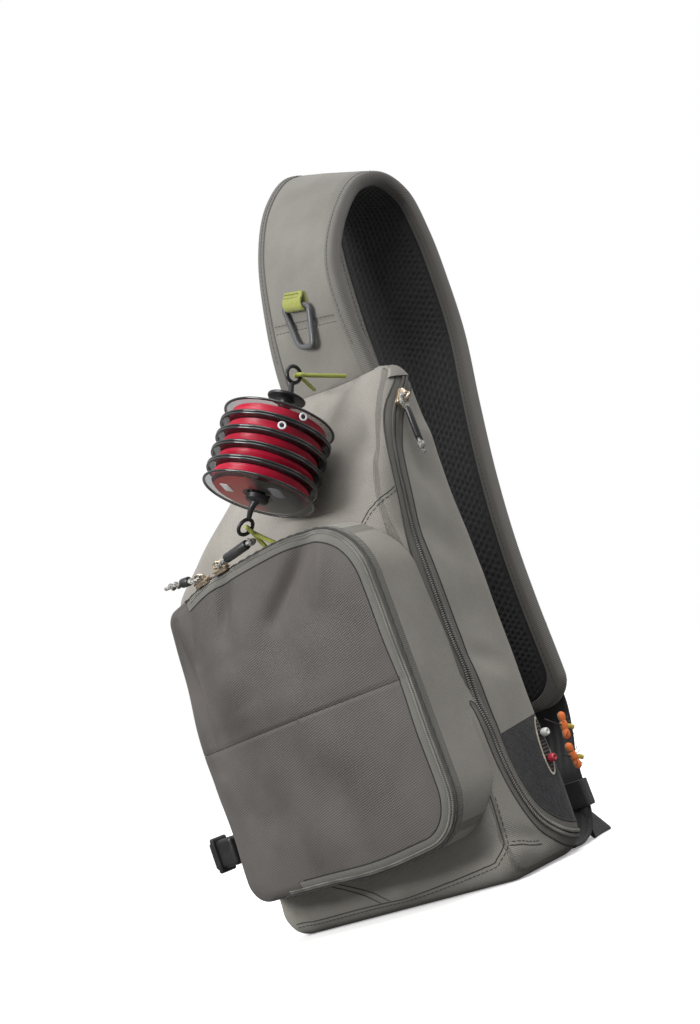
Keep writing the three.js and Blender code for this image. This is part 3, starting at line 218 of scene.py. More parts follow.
# Main compartment
# Two shells of warm grey twill with a soft coating, sewn along the line of the main zip: the front with the
# base, and the rear with the side gusset. The cloth is pulled into soft folds by the strap, zip and pocket.
MM = 0.001
GAP = 0.3
BODY_WIDTH = 207
BODY_HEIGHT = 334
BODY_DEPTH = 75
BODY_WALL = 2.2
BODY_CROWN = 2
FRONT_EDGE = 16
BACK_EDGE = 10
BACK_Y = BODY_DEPTH / 2
FAR = 3 * BODY_HEIGHT
BODY_CORNERS = (
    {"x": -1, "up": 0, "radius": 18},
    {"x": 1, "up": 0, "radius": 18},
    {"x": 1, "up": 0.965, "radius": 20},
    {"x": 0.02, "up": 1, "radius": 20},
    {"x": -1, "up": 0.695, "radius": 28},
)
LEAN_UP = (0, 0.69, 0.74, 0.8, 0.855, 0.9, 0.94, 1)
LEAN_DEPTH = (1, 1, 0.955, 0.84, 0.68, 0.54, 0.42, 0.36)
ZIP_UP = (0.955, 0.925, 0.87, 0.83, 0.78, 0.72, 0.62, 0.45, 0.27, 0.175, 0.105, 0.062, 0.036, 0.024)
ZIP_BACK = (0.9, 0.86, 0.595, 0.475, 0.38, 0.31, 0.24, 0.24, 0.28, 0.32, 0.43, 0.6, 0.82, 1.15)
ZIP_HALF = 7
BODY_FOLD_DEPTH = 1.3
BODY_WAVE = 1.2
BODY_TUCK = 0.4


def smooth(value):
    t = np.clip(value, 0, 1)
    return t * t * (3 - 2 * t)


def follow(source, target, at):
    """Smooth value at a place between two rows of numbers: a cubic whose slopes come from the neighbours."""
    xs, ys = np.asarray(source, float), np.asarray(target, float)
    if xs[0] > xs[-1]:
        xs, ys = xs[::-1], ys[::-1]
    at = np.clip(at, xs[0], xs[-1])
    i = np.clip(np.searchsorted(xs, at, side="right") - 1, 0, len(xs) - 2)
    last = len(xs) - 1
    before, after = np.maximum(np.arange(len(xs)) - 1, 0), np.minimum(np.arange(len(xs)) + 1, last)
    slope = (ys[after] - ys[before]) / (xs[after] - xs[before])
    span = xs[i + 1] - xs[i]
    t = (at - xs[i]) / span
    h = t * t * (3 - 2 * t)
    lift = t * (1 - t) ** 2 * span * slope[i] - t * t * (1 - t) * span * slope[i + 1]
    return ys[i] * (1 - h) + ys[i + 1] * h + lift


def spaced(points, count=None, pitch=None, closed=False):
    """Points at equal steps along a run of points."""
    points = np.asarray(points, float)
    if closed:
        points = np.vstack([points, points[:1]])
    run = np.concatenate([[0], np.cumsum(np.linalg.norm(np.diff(points, axis=0), axis=1))])
    if count is None:
        count = max(2, int(round(run[-1] / pitch)) + (0 if closed else 1))
    at = np.linspace(0, run[-1], count + 1)[:-1] if closed else np.linspace(0, run[-1], count)
    return np.stack([np.interp(at, run, points[:, k]) for k in range(points.shape[1])], axis=1)


def rounded(corners, count):
    """A convex polygon with its corners rounded to arcs, as equally spaced points."""
    at = [np.array(c["at"], float) for c in corners]
    run = []
    for i, corner in enumerate(corners):
        back = at[i - 1] - at[i]
        on = at[(i + 1) % len(at)] - at[i]
        back, on = back / np.linalg.norm(back), on / np.linalg.norm(on)
        half = math.acos(float(np.clip(back @ on, -1, 1))) / 2
        middle = at[i] + (back + on) / np.linalg.norm(back + on) * corner["radius"] / math.sin(half)
        start = math.atan2(back[0], -back[1])
        for angle in np.linspace(start, start + math.pi - 2 * half, 24):
            run.append(middle + corner["radius"] * np.array([math.cos(angle), math.sin(angle)]))
    return spaced(run, count=count, closed=True)


def moved(points, distance):
    along = np.roll(points, -1, axis=0) - np.roll(points, 1, axis=0)
    along /= np.linalg.norm(along, axis=1, keepdims=True)
    return points + distance * np.stack([along[:, 1], -along[:, 0]], axis=1)


def set_points(piece, points):
    piece.data.vertices.foreach_set("co", (np.asarray(points, float) * MM).astype(np.float32).ravel())
    piece.data.update()


def points_of(piece):
    co = np.zeros(len(piece.data.vertices) * 3, np.float32)
    piece.data.vertices.foreach_get("co", co)
    return co.reshape(-1, 3).astype(float)


def edited(piece, *steps):
    """Runs edit-mode steps on the whole of a piece."""
    deselect()
    piece.select_set(True)
    bpy.context.view_layer.objects.active = piece
    bpy.ops.object.mode_set(mode="EDIT")
    bpy.ops.mesh.select_all(action="SELECT")
    for step in steps:
        step()
    bpy.ops.object.mode_set(mode="OBJECT")
    return piece


def outward():
    bpy.ops.mesh.normals_make_consistent(inside=False)


def ball(name, rings):
    """A sphere primitive laid over rings of points, with each of its points' ring and step round the ring."""
    total, count = rings.shape[:2]
    deselect()
    bpy.ops.mesh.primitive_uv_sphere_add(segments=count, ring_count=total + 1, radius=1)
    piece = bpy.context.object
    piece.name = name
    co = points_of(piece)
    level = np.rint(np.arccos(np.clip(co[:, 2], -1, 1)) / math.pi * (total + 1)).astype(int) - 1
    step = np.rint(np.arctan2(co[:, 1], co[:, 0]) / (2 * math.pi) * count).astype(int) % count
    placed = rings[np.clip(level, 0, total - 1), step]
    placed[level < 0] = rings[0].mean(axis=0)
    placed[level >= total] = rings[-1].mean(axis=0)
    set_points(piece, placed)
    return piece, level, step


def ball_form(name, rings):
    """A closed form from rings[ring, step] in millimetres."""
    piece, _, _ = ball(name, np.asarray(rings, float))
    return edited(piece, outward)


def bag_rings(outline, front, back, edges, crowns, offset, steps, fold=None, bulge=None):
    """Rings of a bag form: a rounded outline seen from the front, rounded over to a front and a back skin."""
    edge = moved(outline, offset)
    centre = edge.mean(axis=0)

    def ring(inset, scale, depth):
        flat = (moved(edge, -inset) - centre) * scale + centre
        y = depth(flat[:, 1])
        x = flat[:, 0] - (bulge(flat[:, 0], y, flat[:, 1]) if bulge else 0)
        return np.stack([x, y, flat[:, 1]], axis=1)

    rings = []
    for scale in np.linspace(0.02, 1, steps["front"])[:-1]:
        crown = crowns[0] * (1 - scale * scale)
        rings.append(ring(edges[0] + offset, scale, lambda z, c=crown: front(z) - offset - c))
    for angle in np.linspace(0, math.pi / 2, steps["edge"]):
        radius = edges[0] + offset
        sink = radius * (1 - math.cos(angle))
        rings.append(ring(radius * (1 - math.sin(angle)), 1, lambda z, s=sink: front(z) - offset + s))
    for share in np.linspace(0, 1, steps["side"] + 2)[1:-1]:
        def depth(z, share=share):
            start, end = front(z) + edges[0], back(z) - edges[1]
            return start + share * (end - start)
        rings.append(ring(0, 1, depth))
    for angle in np.linspace(math.pi / 2, 0, steps["edge"]):
        radius = edges[1] + offset
        sink = radius * (1 - math.cos(angle))
        rings.append(ring(radius * (1 - math.sin(angle)), 1, lambda z, s=sink: back(z) + offset - s))
    for scale in np.linspace(1, 0.02, steps["back"])[1:]:
        crown = crowns[1] * (1 - scale * scale)
        rings.append(ring(edges[1] + offset, scale, lambda z, c=crown: back(z) + offset + c))
    rings = np.array(rings)
    return rings + fold(rings.reshape(-1, 3)).reshape(rings.shape) if fold else rings


def front_y(z):
    return BACK_Y - BODY_DEPTH * follow(LEAN_UP, LEAN_DEPTH, np.clip(z / BODY_HEIGHT, 0, 1))


# Folds of the body's cloth: a line from one point to another, how wide it is, how deep (below 0 it stands
# proud), and the direction it is pressed in.
BODY_FOLDS = (
    {"from": (70, -8, 322), "to": (92, -22, 268), "wide": 6.5, "deep": 3.4, "to_side": (0.3, 1, 0)},
    {"from": (52, -10, 316), "to": (66, -30, 262), "wide": 7, "deep": 2.8, "to_side": (0, 1, 0)},
    {"from": (30, -12, 318), "to": (20, -34, 262), "wide": 9, "deep": 2.4, "to_side": (0, 1, 0)},
    {"from": (97, -34, 210), "to": (99, -30, 110), "wide": 9, "deep": 2.6, "to_side": (-1, 1, 0)},
    {"from": (99, -34, 150), "to": (96, -36, 60), "wide": 8, "deep": 1.6, "to_side": (-1, 1, 0)},
    {"from": (103, 4, 262), "to": (103, 20, 236), "wide": 10, "deep": 1.8, "to_side": (-1, 0, 0)},
    {"from": (103, 20, 276), "to": (103, 34, 268), "wide": 8, "deep": -1.2, "to_side": (-1, 0, 0)},
    {"from": (103, -6, 210), "to": (103, 22, 190), "wide": 12, "deep": 1.5, "to_side": (-1, 0, 0)},
    {"from": (103, -8, 132), "to": (103, 16, 122), "wide": 7, "deep": 1.4, "to_side": (-1, 0, 0)},
    {"from": (-103, -10, 210), "to": (-103, 14, 160), "wide": 14, "deep": 2.2, "to_side": (1, 0, 0)},
    {"from": (-103, 0, 90), "to": (-103, 20, 40), "wide": 12, "deep": 1.6, "to_side": (1, 0, 0)},
    {"from": (-80, -24, 250), "to": (-55, -36, 236), "wide": 10, "deep": 1.4, "to_side": (0, 1, 0)},
    {"from": (100, -30, 26), "to": (103, -4, 15), "wide": 5, "deep": 1.8, "to_side": (-1, 0.4, 0)},
    {"from": (101, -22, 116), "to": (101, -16, 96), "wide": 6, "deep": 2.2, "to_side": (-1, 0, 0)},
    {"from": (60, -37, 26), "to": (84, -37, 18), "wide": 7, "deep": 1.6, "to_side": (0, 1, 0)},
    {"from": (-60, -37, 22), "to": (-36, -37, 16), "wide": 6, "deep": 1.8, "to_side": (0, 1, 0)},
    {"from": (-96, -30, 28), "to": (-80, -36, 8), "wide": 6, "deep": 2.6, "to_side": (0.6, 1, 0)},
    {"from": (20, -37, 24), "to": (8, -37, 10), "wide": 8, "deep": -1.4, "to_side": (0, 1, 0)},
)


def pressed(points, folds):
    """How far each point moves by a table of folds."""
    total = np.zeros_like(points)
    for row in folds:
        a, b = np.array(row["from"], float), np.array(row["to"], float)
        along = b - a
        t = np.clip((points - a) @ along / (along @ along), 0, 1)
        away = np.linalg.norm(points - (a + t[:, None] * along), axis=1)
        side = np.array(row["to_side"], float)
        depth = row["deep"] * np.exp(-((away / row["wide"]) ** 2)) * (0.55 + 0.45 * np.sin(math.pi * t))
        total += depth[:, None] * side / np.linalg.norm(side)
    return total


def ripple(points, size, seed):
    """Slow waves, the same each time, of about unit height."""
    rng = np.random.default_rng(seed)
    total = np.zeros(len(points))
    for _ in range(7):
        way = rng.normal(size=3)
        way *= 2 * math.pi / (size * rng.uniform(0.7, 1.6)) / np.linalg.norm(way)
        total += np.sin(points @ way + rng.uniform(0, 2 * math.pi))
    return total / 4


def body_fold(points):
    give = pressed(points, BODY_FOLDS) * BODY_FOLD_DEPTH
    wave = ripple(points, 55, 3)[:, None] * BODY_WAVE
    inward = points - np.array([0, 6, 150])
    inward /= np.array([BODY_WIDTH / 2, BODY_DEPTH / 2, BODY_HEIGHT / 2])
    inward = -inward / np.linalg.norm(inward, axis=1, keepdims=True)
    hold = smooth(points[:, 2:] / 14)
    return (give + inward * (wave + BODY_TUCK)) * hold


body_corners = [
    {"at": (c["x"] * BODY_WIDTH / 2, c["up"] * BODY_HEIGHT), "radius": c["radius"]} for c in BODY_CORNERS
]
body_outline = rounded(body_corners, 420)


def body_skin(name, offset, crown=BODY_CROWN):
    steps = {"front": 34, "edge": 9, "side": 22, "back": 16}
    edges, crowns = (FRONT_EDGE, BACK_EDGE), (crown, crown)
    back = np.vectorize(lambda z: BACK_Y)
    rings = bag_rings(body_outline, front_y, back, edges, crowns, offset, steps, fold=body_fold)
    return ball_form(name, rings)


def spline(points, share):
    """A run of points followed as a draughtsman's curve through them."""
    points = np.asarray(points, float)
    at = np.clip(share, 0, 1) * (len(points) - 1)
    i = np.minimum(at.astype(int), len(points) - 2)
    t = (at - i)[:, None]
    a, b = points[np.maximum(i - 1, 0)], points[i]
    c, d = points[i + 1], points[np.minimum(i + 2, len(points) - 1)]
    start, end = (c - a) / 2, (d - b) / 2
    curve = (2 * b - 2 * c + start + end) * t**3 + (-3 * b + 3 * c - 2 * start - end) * t**2
    return curve + start * t + b


zip_points = np.stack([-BACK_Y + np.array(ZIP_BACK) * BODY_DEPTH, np.array(ZIP_UP) * BODY_HEIGHT], axis=1)
zip_path = spaced(spline(zip_points, np.linspace(0, 1, 800)), count=160)


def beside(path, distance):
    along = np.gradient(path, axis=0)
    along /= np.linalg.norm(along, axis=1, keepdims=True)
    return path + distance * np.stack([-along[:, 1], along[:, 0]], axis=1)


def slab(name, outline, axis, low, high):
    """A flat outline pushed along X or Y, from a circle primitive's face."""
    outline = np.asarray(outline, float)
    deselect()
    bpy.ops.mesh.primitive_circle_add(vertices=len(outline), radius=1, fill_type="NGON")
    piece = bpy.context.object
    piece.name = name
    start = np.full(len(outline), float(low))
    columns = [start, outline[:, 0], outline[:, 1]] if axis == "x" else [outline[:, 0], start, outline[:, 1]]
    set_points(piece, np.stack(columns, axis=1))
    way = ((high - low) * MM, 0, 0) if axis == "x" else (0, (high - low) * MM, 0)

    def push():
        bpy.ops.mesh.extrude_region_move(TRANSFORM_OT_translate={"value": way})
        bpy.ops.mesh.select_all(action="SELECT")

    return edited(piece, push, outward)


def copy_of(piece, name):
    deselect()
    piece.select_set(True)
    bpy.context.view_layer.objects.active = piece
    bpy.ops.object.duplicate()
    made = bpy.context.object
    made.name = name
    return made


def apply(piece, kind, **settings):
    deselect()
    piece.select_set(True)
    bpy.context.view_layer.objects.active = piece
    modifier = piece.modifiers.new(kind.lower(), kind)
    for key, value in settings.items():
        setattr(modifier, key, value)
    bpy.ops.object.modifier_apply(modifier=modifier.name)
    return piece


def cut(piece, tool, operation="DIFFERENCE", keep=False):
    apply(piece, "BOOLEAN", object=tool, operation=operation, solver="MANIFOLD")
    if not keep:
        bpy.data.objects.remove(tool)
    return piece


def finished(piece, material, body, *replaced, slot=None, angle=40):
    """Smooth shading, the one material, the body it moves with, and the nodes it stands for."""
    deselect()
    piece.select_set(True)
    bpy.context.view_layer.objects.active = piece
    bpy.ops.object.shade_smooth_by_angle(angle=math.radians(angle))
    piece.data.materials.clear()
    piece.data.materials.append(material)
    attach(piece, body)
    if replaced:
        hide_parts(*replaced)
    return piece


def behind_zip(name, gap):
    line = beside(zip_path, gap)
    top, bottom = line[0], line[-1]
    around = [(top[0] + BODY_DEPTH, FAR), (top[0], top[1] + 40), *line, (FAR, bottom[1]), (FAR, FAR)]
    return slab(name, around, "x", -FAR, FAR)


def zip_band(name, half, start=BODY_WIDTH * 0.25):
    return slab(name, [*beside(zip_path, half), *beside(zip_path, -half)[::-1]], "x", start, FAR)


def twill(name, light, dark, pitch=1.3, roughness=0.82, depth=0.00026):
    """Fine diagonal twill that follows the front in X and Z, and the sides in Y and Z."""
    made = Finish(name, roughness=roughness, Sheen_Weight=0.12, Sheen_Roughness=0.5)
    turned = made.normal.part(0).math("ABSOLUTE").between(0.55, 0.75)
    across = made.x + turned * (made.y - made.x)
    ribs = (across * 0.8 + made.z).wave(pitch * MM) * 0.5 + 0.5
    cross = (across - made.z * 0.7).wave(pitch * MM * 0.8) * 0.5 + 0.5
    cloud = made.noise(0.05, detail=4).between(0.3, 0.7)
    grain = made.noise(0.0012, detail=2)
    shade = ribs * 0.3 + cross * 0.15 + cloud * 0.25 + grain * 0.3
    made.set(Base_Color=shade.mixed(dark, light))
    made.raised(ribs * 0.7 + cross * 0.3 + grain * 0.5, distance=depth, strength=0.8)
    return made.material


GREY_LIGHT = (0.356, 0.337, 0.300)
GREY_DARK = (0.138, 0.129, 0.114)
grey_cloth = twill("grey_twill", GREY_LIGHT, GREY_DARK)
skin = body_skin("skin", 0)
shell = cut(copy_of(skin, "shell"), body_skin("inside", -BODY_WALL))
keep_out = body_skin("keep_out", GAP)
front = cut(copy_of(shell, "body_front_cloth"), behind_zip("behind", -GAP / 2))
rear = cut(copy_of(shell, "body_rear_cloth"), behind_zip("behind", GAP / 2), "INTERSECT")
for piece in (front, rear):
    cut(piece, zip_band("zip_slot", ZIP_HALF))
finished(front, grey_cloth, "bag", "body_front", slot="grey_cloth")


# Felt patch and tool port
# A patch of charcoal felt let into the side's lower corner. In it a long leaning port with a cream rim and a
# black strip, which holds hooks and flies.
FELT_HEIGHT = 86
PORT_HEIGHT = 66
PORT_LENGTH = 34
PORT_WIDTH = 8
PORT_RIM = 1.6
PORT_LEAN = 0.14


def felt_block(name, gap):
    start = (-BACK_Y + BODY_DEPTH * 0.31, FELT_HEIGHT - BODY_DEPTH * 0.07)
    end = BACK_Y - BACK_EDGE * 0.4 + gap
    outer = start[0] - BODY_DEPTH
    low_edge = start[1] - BODY_DEPTH * 0.1 + gap
    outline = [(outer, low_edge), (end, FELT_HEIGHT + gap), (end, -FAR), (outer, -FAR)]
    return slab(name, outline, "x", BODY_WIDTH * 0.3, FAR)


def port_slab(name, grow):
    angle = np.linspace(0, 2 * math.pi, 73)[:-1]
    across, along = (PORT_WIDTH / 2 + grow) * np.cos(angle), (PORT_LENGTH / 2 + grow) * np.sin(angle)
    lean = (math.cos(PORT_LEAN), math.sin(PORT_LEAN))
    y = BACK_Y - BACK_EDGE + across * lean[0] + along * lean[1]
    z = PORT_HEIGHT - across * lean[1] + along * lean[0]
    return slab(name, np.stack([y, z], axis=1), "x", BODY_WIDTH * 0.3, FAR)


felt = cut(copy_of(rear, "felt_patch_cloth"), felt_block("felt_block", 0), "INTERSECT")
cut(rear, felt_block("felt_block", GAP))
finished(rear, grey_cloth, "bag", "body_rear", slot="grey_cloth")
rim = cut(copy_of(felt, "tool_port_edge"), port_slab("rim_cut", PORT_RIM - GAP), "INTERSECT")
cut(rim, port_slab("rim_hole", 0))
port = cut(copy_of(felt, "tool_port_strip"), port_slab("port_cut", -GAP), "INTERSECT")
cut(felt, port_slab("port_hole", PORT_RIM))

fuzz = Finish("felt_cloth", roughness=0.98, Sheen_Weight=0.12, Sheen_Roughness=0.6)
fibre = fuzz.noise(0.0014, detail=5)
blotch = fuzz.noise(0.006, detail=3)
felt_tone = (fibre * 0.6 + blotch * 0.4).between(0.32, 0.68)
fuzz.set(Base_Color=felt_tone.mixed((0.007, 0.007, 0.008), (0.028, 0.028, 0.032)))
fuzz.raised(fibre, distance=0.0006, strength=0.9)
finished(felt, fuzz.material, "bag", "felt_patch", slot="felt")

cream = Finish("cream_rim", roughness=0.7)
cream_wear = cream.noise(0.004, detail=3).between(0.3, 0.7)
cream.set(Base_Color=cream_wear.mixed((0.42, 0.37, 0.29), (0.62, 0.57, 0.47)))
cream.raised(cream.noise(0.0008), distance=0.0002)
finished(rim, cream.material, "bag", "tool_port_rim", slot="cream_rim")

slots = Finish("black_strip", roughness=0.55)
slit = slots.z.wave(2.2 * MM) * 0.5 + 0.5
slots.set(Base_Color=slit.mixed((0.006, 0.006, 0.007), (0.030, 0.030, 0.032)))
slots.raised(slit, distance=0.0006, strength=0.8)
finished(port, slots.material, "bag", "tool_port", slot="black_plastic")


# Main zip
# A reversed coil zip down the right side: a woven tape set back in the slot, two rows of small coil teeth that
# meet on a dark centre cord of painted shadow, and a dark cord of piping along each edge of the slot, whose
# darkness is partly painted shadow.
ZIP_TEETH_PITCH = 1.35
TOOTH = (0.5, 1.25, 0.62)
PIPING = 1.1


def lofted(name, rings):
    """A closed form from rings, with a UV map in metres: u across a ring, v along from ring to ring."""
    rings = np.asarray(rings, float)
    total, count = rings.shape[:2]
    middle = rings[total // 2]
    round_it = np.linalg.norm(np.roll(middle, -1, axis=0) - middle, axis=1)
    across = np.concatenate([[0], np.cumsum(round_it)]) * MM
    centres = rings.mean(axis=1)
    along = np.concatenate([[0], np.cumsum(np.linalg.norm(np.diff(centres, axis=0), axis=1))]) * MM
    piece, level, step = ball(name, rings)
    mesh = piece.data
    corner = np.zeros(len(mesh.loops), np.int32)
    mesh.loops.foreach_get("vertex_index", corner)
    sides = np.zeros(len(mesh.polygons), np.int32)
    mesh.polygons.foreach_get("loop_total", sides)
    start = np.concatenate([[0], np.cumsum(sides)[:-1]])
    at = step[corner]
    spread = np.maximum.reduceat(at, start) - np.minimum.reduceat(at, start) > count / 2
    at = np.minimum(at + np.where(np.repeat(spread, sides) & (at < count / 2), count, 0), count)
    uv = np.stack([across[at], along[np.clip(level[corner], 0, total - 1)]], axis=1)
    mesh.uv_layers.active.data.foreach_set("uv", uv.astype(np.float32).ravel())
    return edited(piece, outward)


def unit(vectors):
    vectors = np.asarray(vectors, float)
    return vectors / np.maximum(np.linalg.norm(vectors, axis=-1, keepdims=True), 1e-12)


def tube(name, path, radius, sides=14, flat=1.0, side=None, ends=0.0):
    """A round cord along a path. flat below 1 makes it an oval; ends above 0 rounds its tips off."""
    path = np.asarray(path, float)
    way = unit(np.gradient(path, axis=0))
    side = np.array((0.31, 0.42, 0.85) if side is None else side, float)
    across = unit(side - way[0] * (side @ way[0]))
    frames = []
    for w in way:
        across = unit(across - w * (across @ w))
        frames.append((across, np.cross(w, across)))
    angle = np.linspace(0, 2 * math.pi, sides + 1)[:-1]
    radii = np.full(len(path), 1.0) * radius
    if ends:
        run = np.concatenate([[0], np.cumsum(np.linalg.norm(np.diff(path, axis=0), axis=1))])
        near = np.minimum(run, run[-1] - run) / (ends * np.max(radii))
        radii = radii * np.sqrt(1 - (1 - np.clip(near, 0.04, 1)) ** 2)
    rings = [
        p + r * (np.cos(angle)[:, None] * a + flat * np.sin(angle)[:, None] * b)
        for p, r, (a, b) in zip(path, radii, frames)
    ]
    return lofted(name, np.array(rings))


def joined(name, pieces):
    deselect()
    for piece in pieces:
        piece.select_set(True)
    bpy.context.view_layer.objects.active = pieces[0]
    bpy.ops.object.join()
    made = bpy.context.object
    made.name = name
    return made


def row_of(name, seed, frames):
    """Copies of a small piece, one for each place and its three axes, joined into one."""
    start = points_of(seed) / MM
    apply(seed, "ARRAY", count=len(frames), use_relative_offset=False)
    seed.name = name
    set_points(seed, np.concatenate([np.asarray(at) + start @ np.asarray(axes) for at, axes in frames]))
    return seed


def seed_ball(size, segments=8, rings=6):
    """A small rounded body with the given half sizes along its own axes."""
    deselect()
    bpy.ops.mesh.primitive_uv_sphere_add(segments=segments, ring_count=rings, radius=1)
    seed = bpy.context.object
    co = points_of(seed)
    co = np.sign(co) * np.abs(co) ** 0.7
    set_points(seed, co * np.array(size))
    return seed


def surface_of(piece):
    """Finds places on a piece's outside by rays: each hit, with its outward direction."""
    graph = bpy.context.evaluated_depsgraph_get()
    tree = BVHTree.FromObject(piece, graph)

    def cast(points, ways):
        ways = np.broadcast_to(np.asarray(ways, float), np.shape(points))
        hits, normals = [], []
        for p, w in zip(points, ways):
            hit, normal, _, _ = tree.ray_cast(Vector(np.asarray(p) * MM), Vector(w))
            hits.append(np.array(hit) / MM if hit else np.full(3, np.nan))
            normals.append(np.array(normal) if hit else np.full(3, np.nan))
        hits, normals = np.array(hits), unit(np.array(normals))
        kept = ~np.isnan(hits[:, 0])
        return hits[kept], normals[kept]

    return cast


def on_side(distance, pitch, cast):
    """Places on the bag's right side beside the zip's line, with their outward directions."""
    line = spaced(beside(zip_path, distance), pitch=pitch)
    starts = np.stack([np.full(len(line), 200.0), line[:, 0], line[:, 1]], axis=1)
    return cast(starts, (-1, 0, 0))


def softened(points, normals, rounds=3):
    normals = normals.copy()
    for _ in range(rounds):
        normals[1:-1] = unit(normals[:-2] + normals[1:-1] * 2 + normals[2:])
    return points, normals


side_cast = surface_of(skin)
tape_band = zip_band("tape_band", ZIP_HALF - GAP, BODY_WIDTH * 0.25 + GAP)
tape = cut(copy_of(shell, "main_zip_tape_cloth"), tape_band, "INTERSECT")
tape_cloth = Finish("zip_tape", roughness=0.9, Sheen_Weight=0.1)
tape_rib = (tape_cloth.z + tape_cloth.y * 0.9).wave(0.9 * MM) * 0.5 + 0.5
tape_cross = (tape_cloth.z - tape_cloth.y * 0.9).wave(0.9 * MM) * 0.5 + 0.5
tape_tone = tape_rib * 0.5 + tape_cross * 0.5
tape_cloth.set(Base_Color=tape_tone.mixed((0.080, 0.075, 0.067), (0.185, 0.175, 0.156)))
tape_cloth.raised(tape_rib + tape_cross, distance=0.0002, strength=0.7)
finished(tape, tape_cloth.material, "bag", "main_zip_tape", slot="binding_cloth")

centre, centre_out = softened(*on_side(0, ZIP_TEETH_PITCH, side_cast))
run = unit(np.gradient(centre, axis=0))
sideways = unit(np.cross(centre_out, run))
teeth = []
for side in (-1, 1):
    for k, (p, r, s, o) in enumerate(zip(centre, run, sideways, centre_out)):
        at = p + r * (ZIP_TEETH_PITCH * 0.25 * side) + s * side * 1.45 + o * 0.75
        teeth.append((at, (r, unit(s + r * 0.18 * side), o)))
coil = row_of("main_zip_teeth", seed_ball(TOOTH), teeth)
coil_plastic = Finish("zip_coil", roughness=0.5, Coat_Weight=0.1)
coil_tone = coil_plastic.noise(0.02).between(0.3, 0.7)
coil_plastic.set(Base_Color=coil_tone.mixed((0.155, 0.150, 0.138), (0.215, 0.208, 0.192)))
coil_plastic.raised(coil_plastic.noise(0.0006), distance=0.0001)
finished(coil, coil_plastic.material, "bag", "main_zip_coil", slot="binding_cloth")

# Painted shadow: a near black cord laid in the gap where the main zip's teeth meet, and round the pocket's door.
painted_shadow_black = Finish("zip_shadow_line", roughness=0.95)
painted_shadow_black.set(Base_Color=painted_shadow_black.noise(0.003).mixed((0.012, 0.012, 0.012), (0.03, 0.03, 0.03)))
painted_shadow_black.raised(painted_shadow_black.noise(0.0008), distance=0.0001)
seam = tube("main_zip_centre_shadow", centre + centre_out * 0.45, 0.45, sides=8)
finished(seam, painted_shadow_black.material, "bag", slot="dark_zip")

piping_and_shadow_cloth = Finish("piping_and_shadow_cloth", roughness=0.8)
u, v = piping_and_shadow_cloth.surface()
twist = (v + u * 1.4).wave(1.2 * MM) * 0.5 + 0.5
piping_and_shadow_cloth.set(Base_Color=twist.mixed((0.030, 0.029, 0.027), (0.070, 0.067, 0.062)))
piping_and_shadow_cloth.raised(twist, distance=0.0002, strength=0.7)
# The piping's dark colour is partly the cord's own and partly painted shadow at the fold beside the tape.
for side, label in ((-1, "front"), (1, "rear")):
    edge, edge_out = softened(*on_side(side * (ZIP_HALF - 0.1), 2.0, side_cast), rounds=6)
    piping = tube(f"main_zip_piping_{label}", edge - edge_out * 0.15, PIPING * 0.55, sides=10)
    finished(piping, piping_and_shadow_cloth.material, "bag", slot="dark_zip")


# Back pad
# A padded panel on the wearer's side, faced with black spacer mesh: a thick open knit with rows of round
# holes.
BACK_PAD = 5
BACK_PAD_MARGIN = 14
HOLE_PITCH = 4.6


def block(name, low, high, bevel=0.0, segments=3):
    """A box primitive between two corners, with its edges rounded."""
    deselect()
    low, high = np.array(low, float), np.array(high, float)
    bpy.ops.mesh.primitive_cube_add(size=2)
    made = bpy.context.object
    made.name = name
    set_points(made, (low + high) / 2 + points_of(made) * (high - low) / 2)
    if bevel:
        apply(made, "BEVEL", width=bevel * MM, segments=segments, limit_method="ANGLE",
              use_clamp_overlap=True)
    return made


pad = cut(body_skin("back_pad_mesh", GAP + BACK_PAD, crown=BODY_CROWN + 1), copy_of(keep_out, "pad_inside"))
cut(pad, slab("pad_zone", moved(body_outline, -BACK_PAD_MARGIN), "y", 0, FAR), "INTERSECT")
cut(pad, block("pad_behind", (-FAR, BACK_Y - BACK_EDGE * 0.5, -FAR), (FAR, FAR, FAR)), "INTERSECT")


def spacer_mesh(made, across, along):
    """Black knit with a hexagonal pattern of round holes over two coordinates."""
    k = 4 * math.pi / math.sqrt(3) / (HOLE_PITCH * MM)
    spread = 0
    for turn in (0, math.pi / 3, 2 * math.pi / 3):
        spread = (across * (k * math.cos(turn)) + along * (k * math.sin(turn))).math("COSINE") + spread
    hole = spread.between(0.5, 1.7)
    yarn = (made.noise(0.0007, detail=2) - 0.5) * 0.5
    # The holes are painted darker than the yarn: painted shade inside each hole.
    made.set(Base_Color=hole.mixed((0.030, 0.030, 0.032), (0.003, 0.003, 0.003)))
    made.raised(yarn - hole * 1.6, distance=0.0009, strength=0.9)
    return made.material


pad_cloth = Finish("spacer_mesh_pad", roughness=0.85, Sheen_Weight=0.2)
pad_knit = spacer_mesh(pad_cloth, pad_cloth.x, pad_cloth.z)
finished(pad, pad_knit, "bag", "back_pad", slot="spacer_mesh")


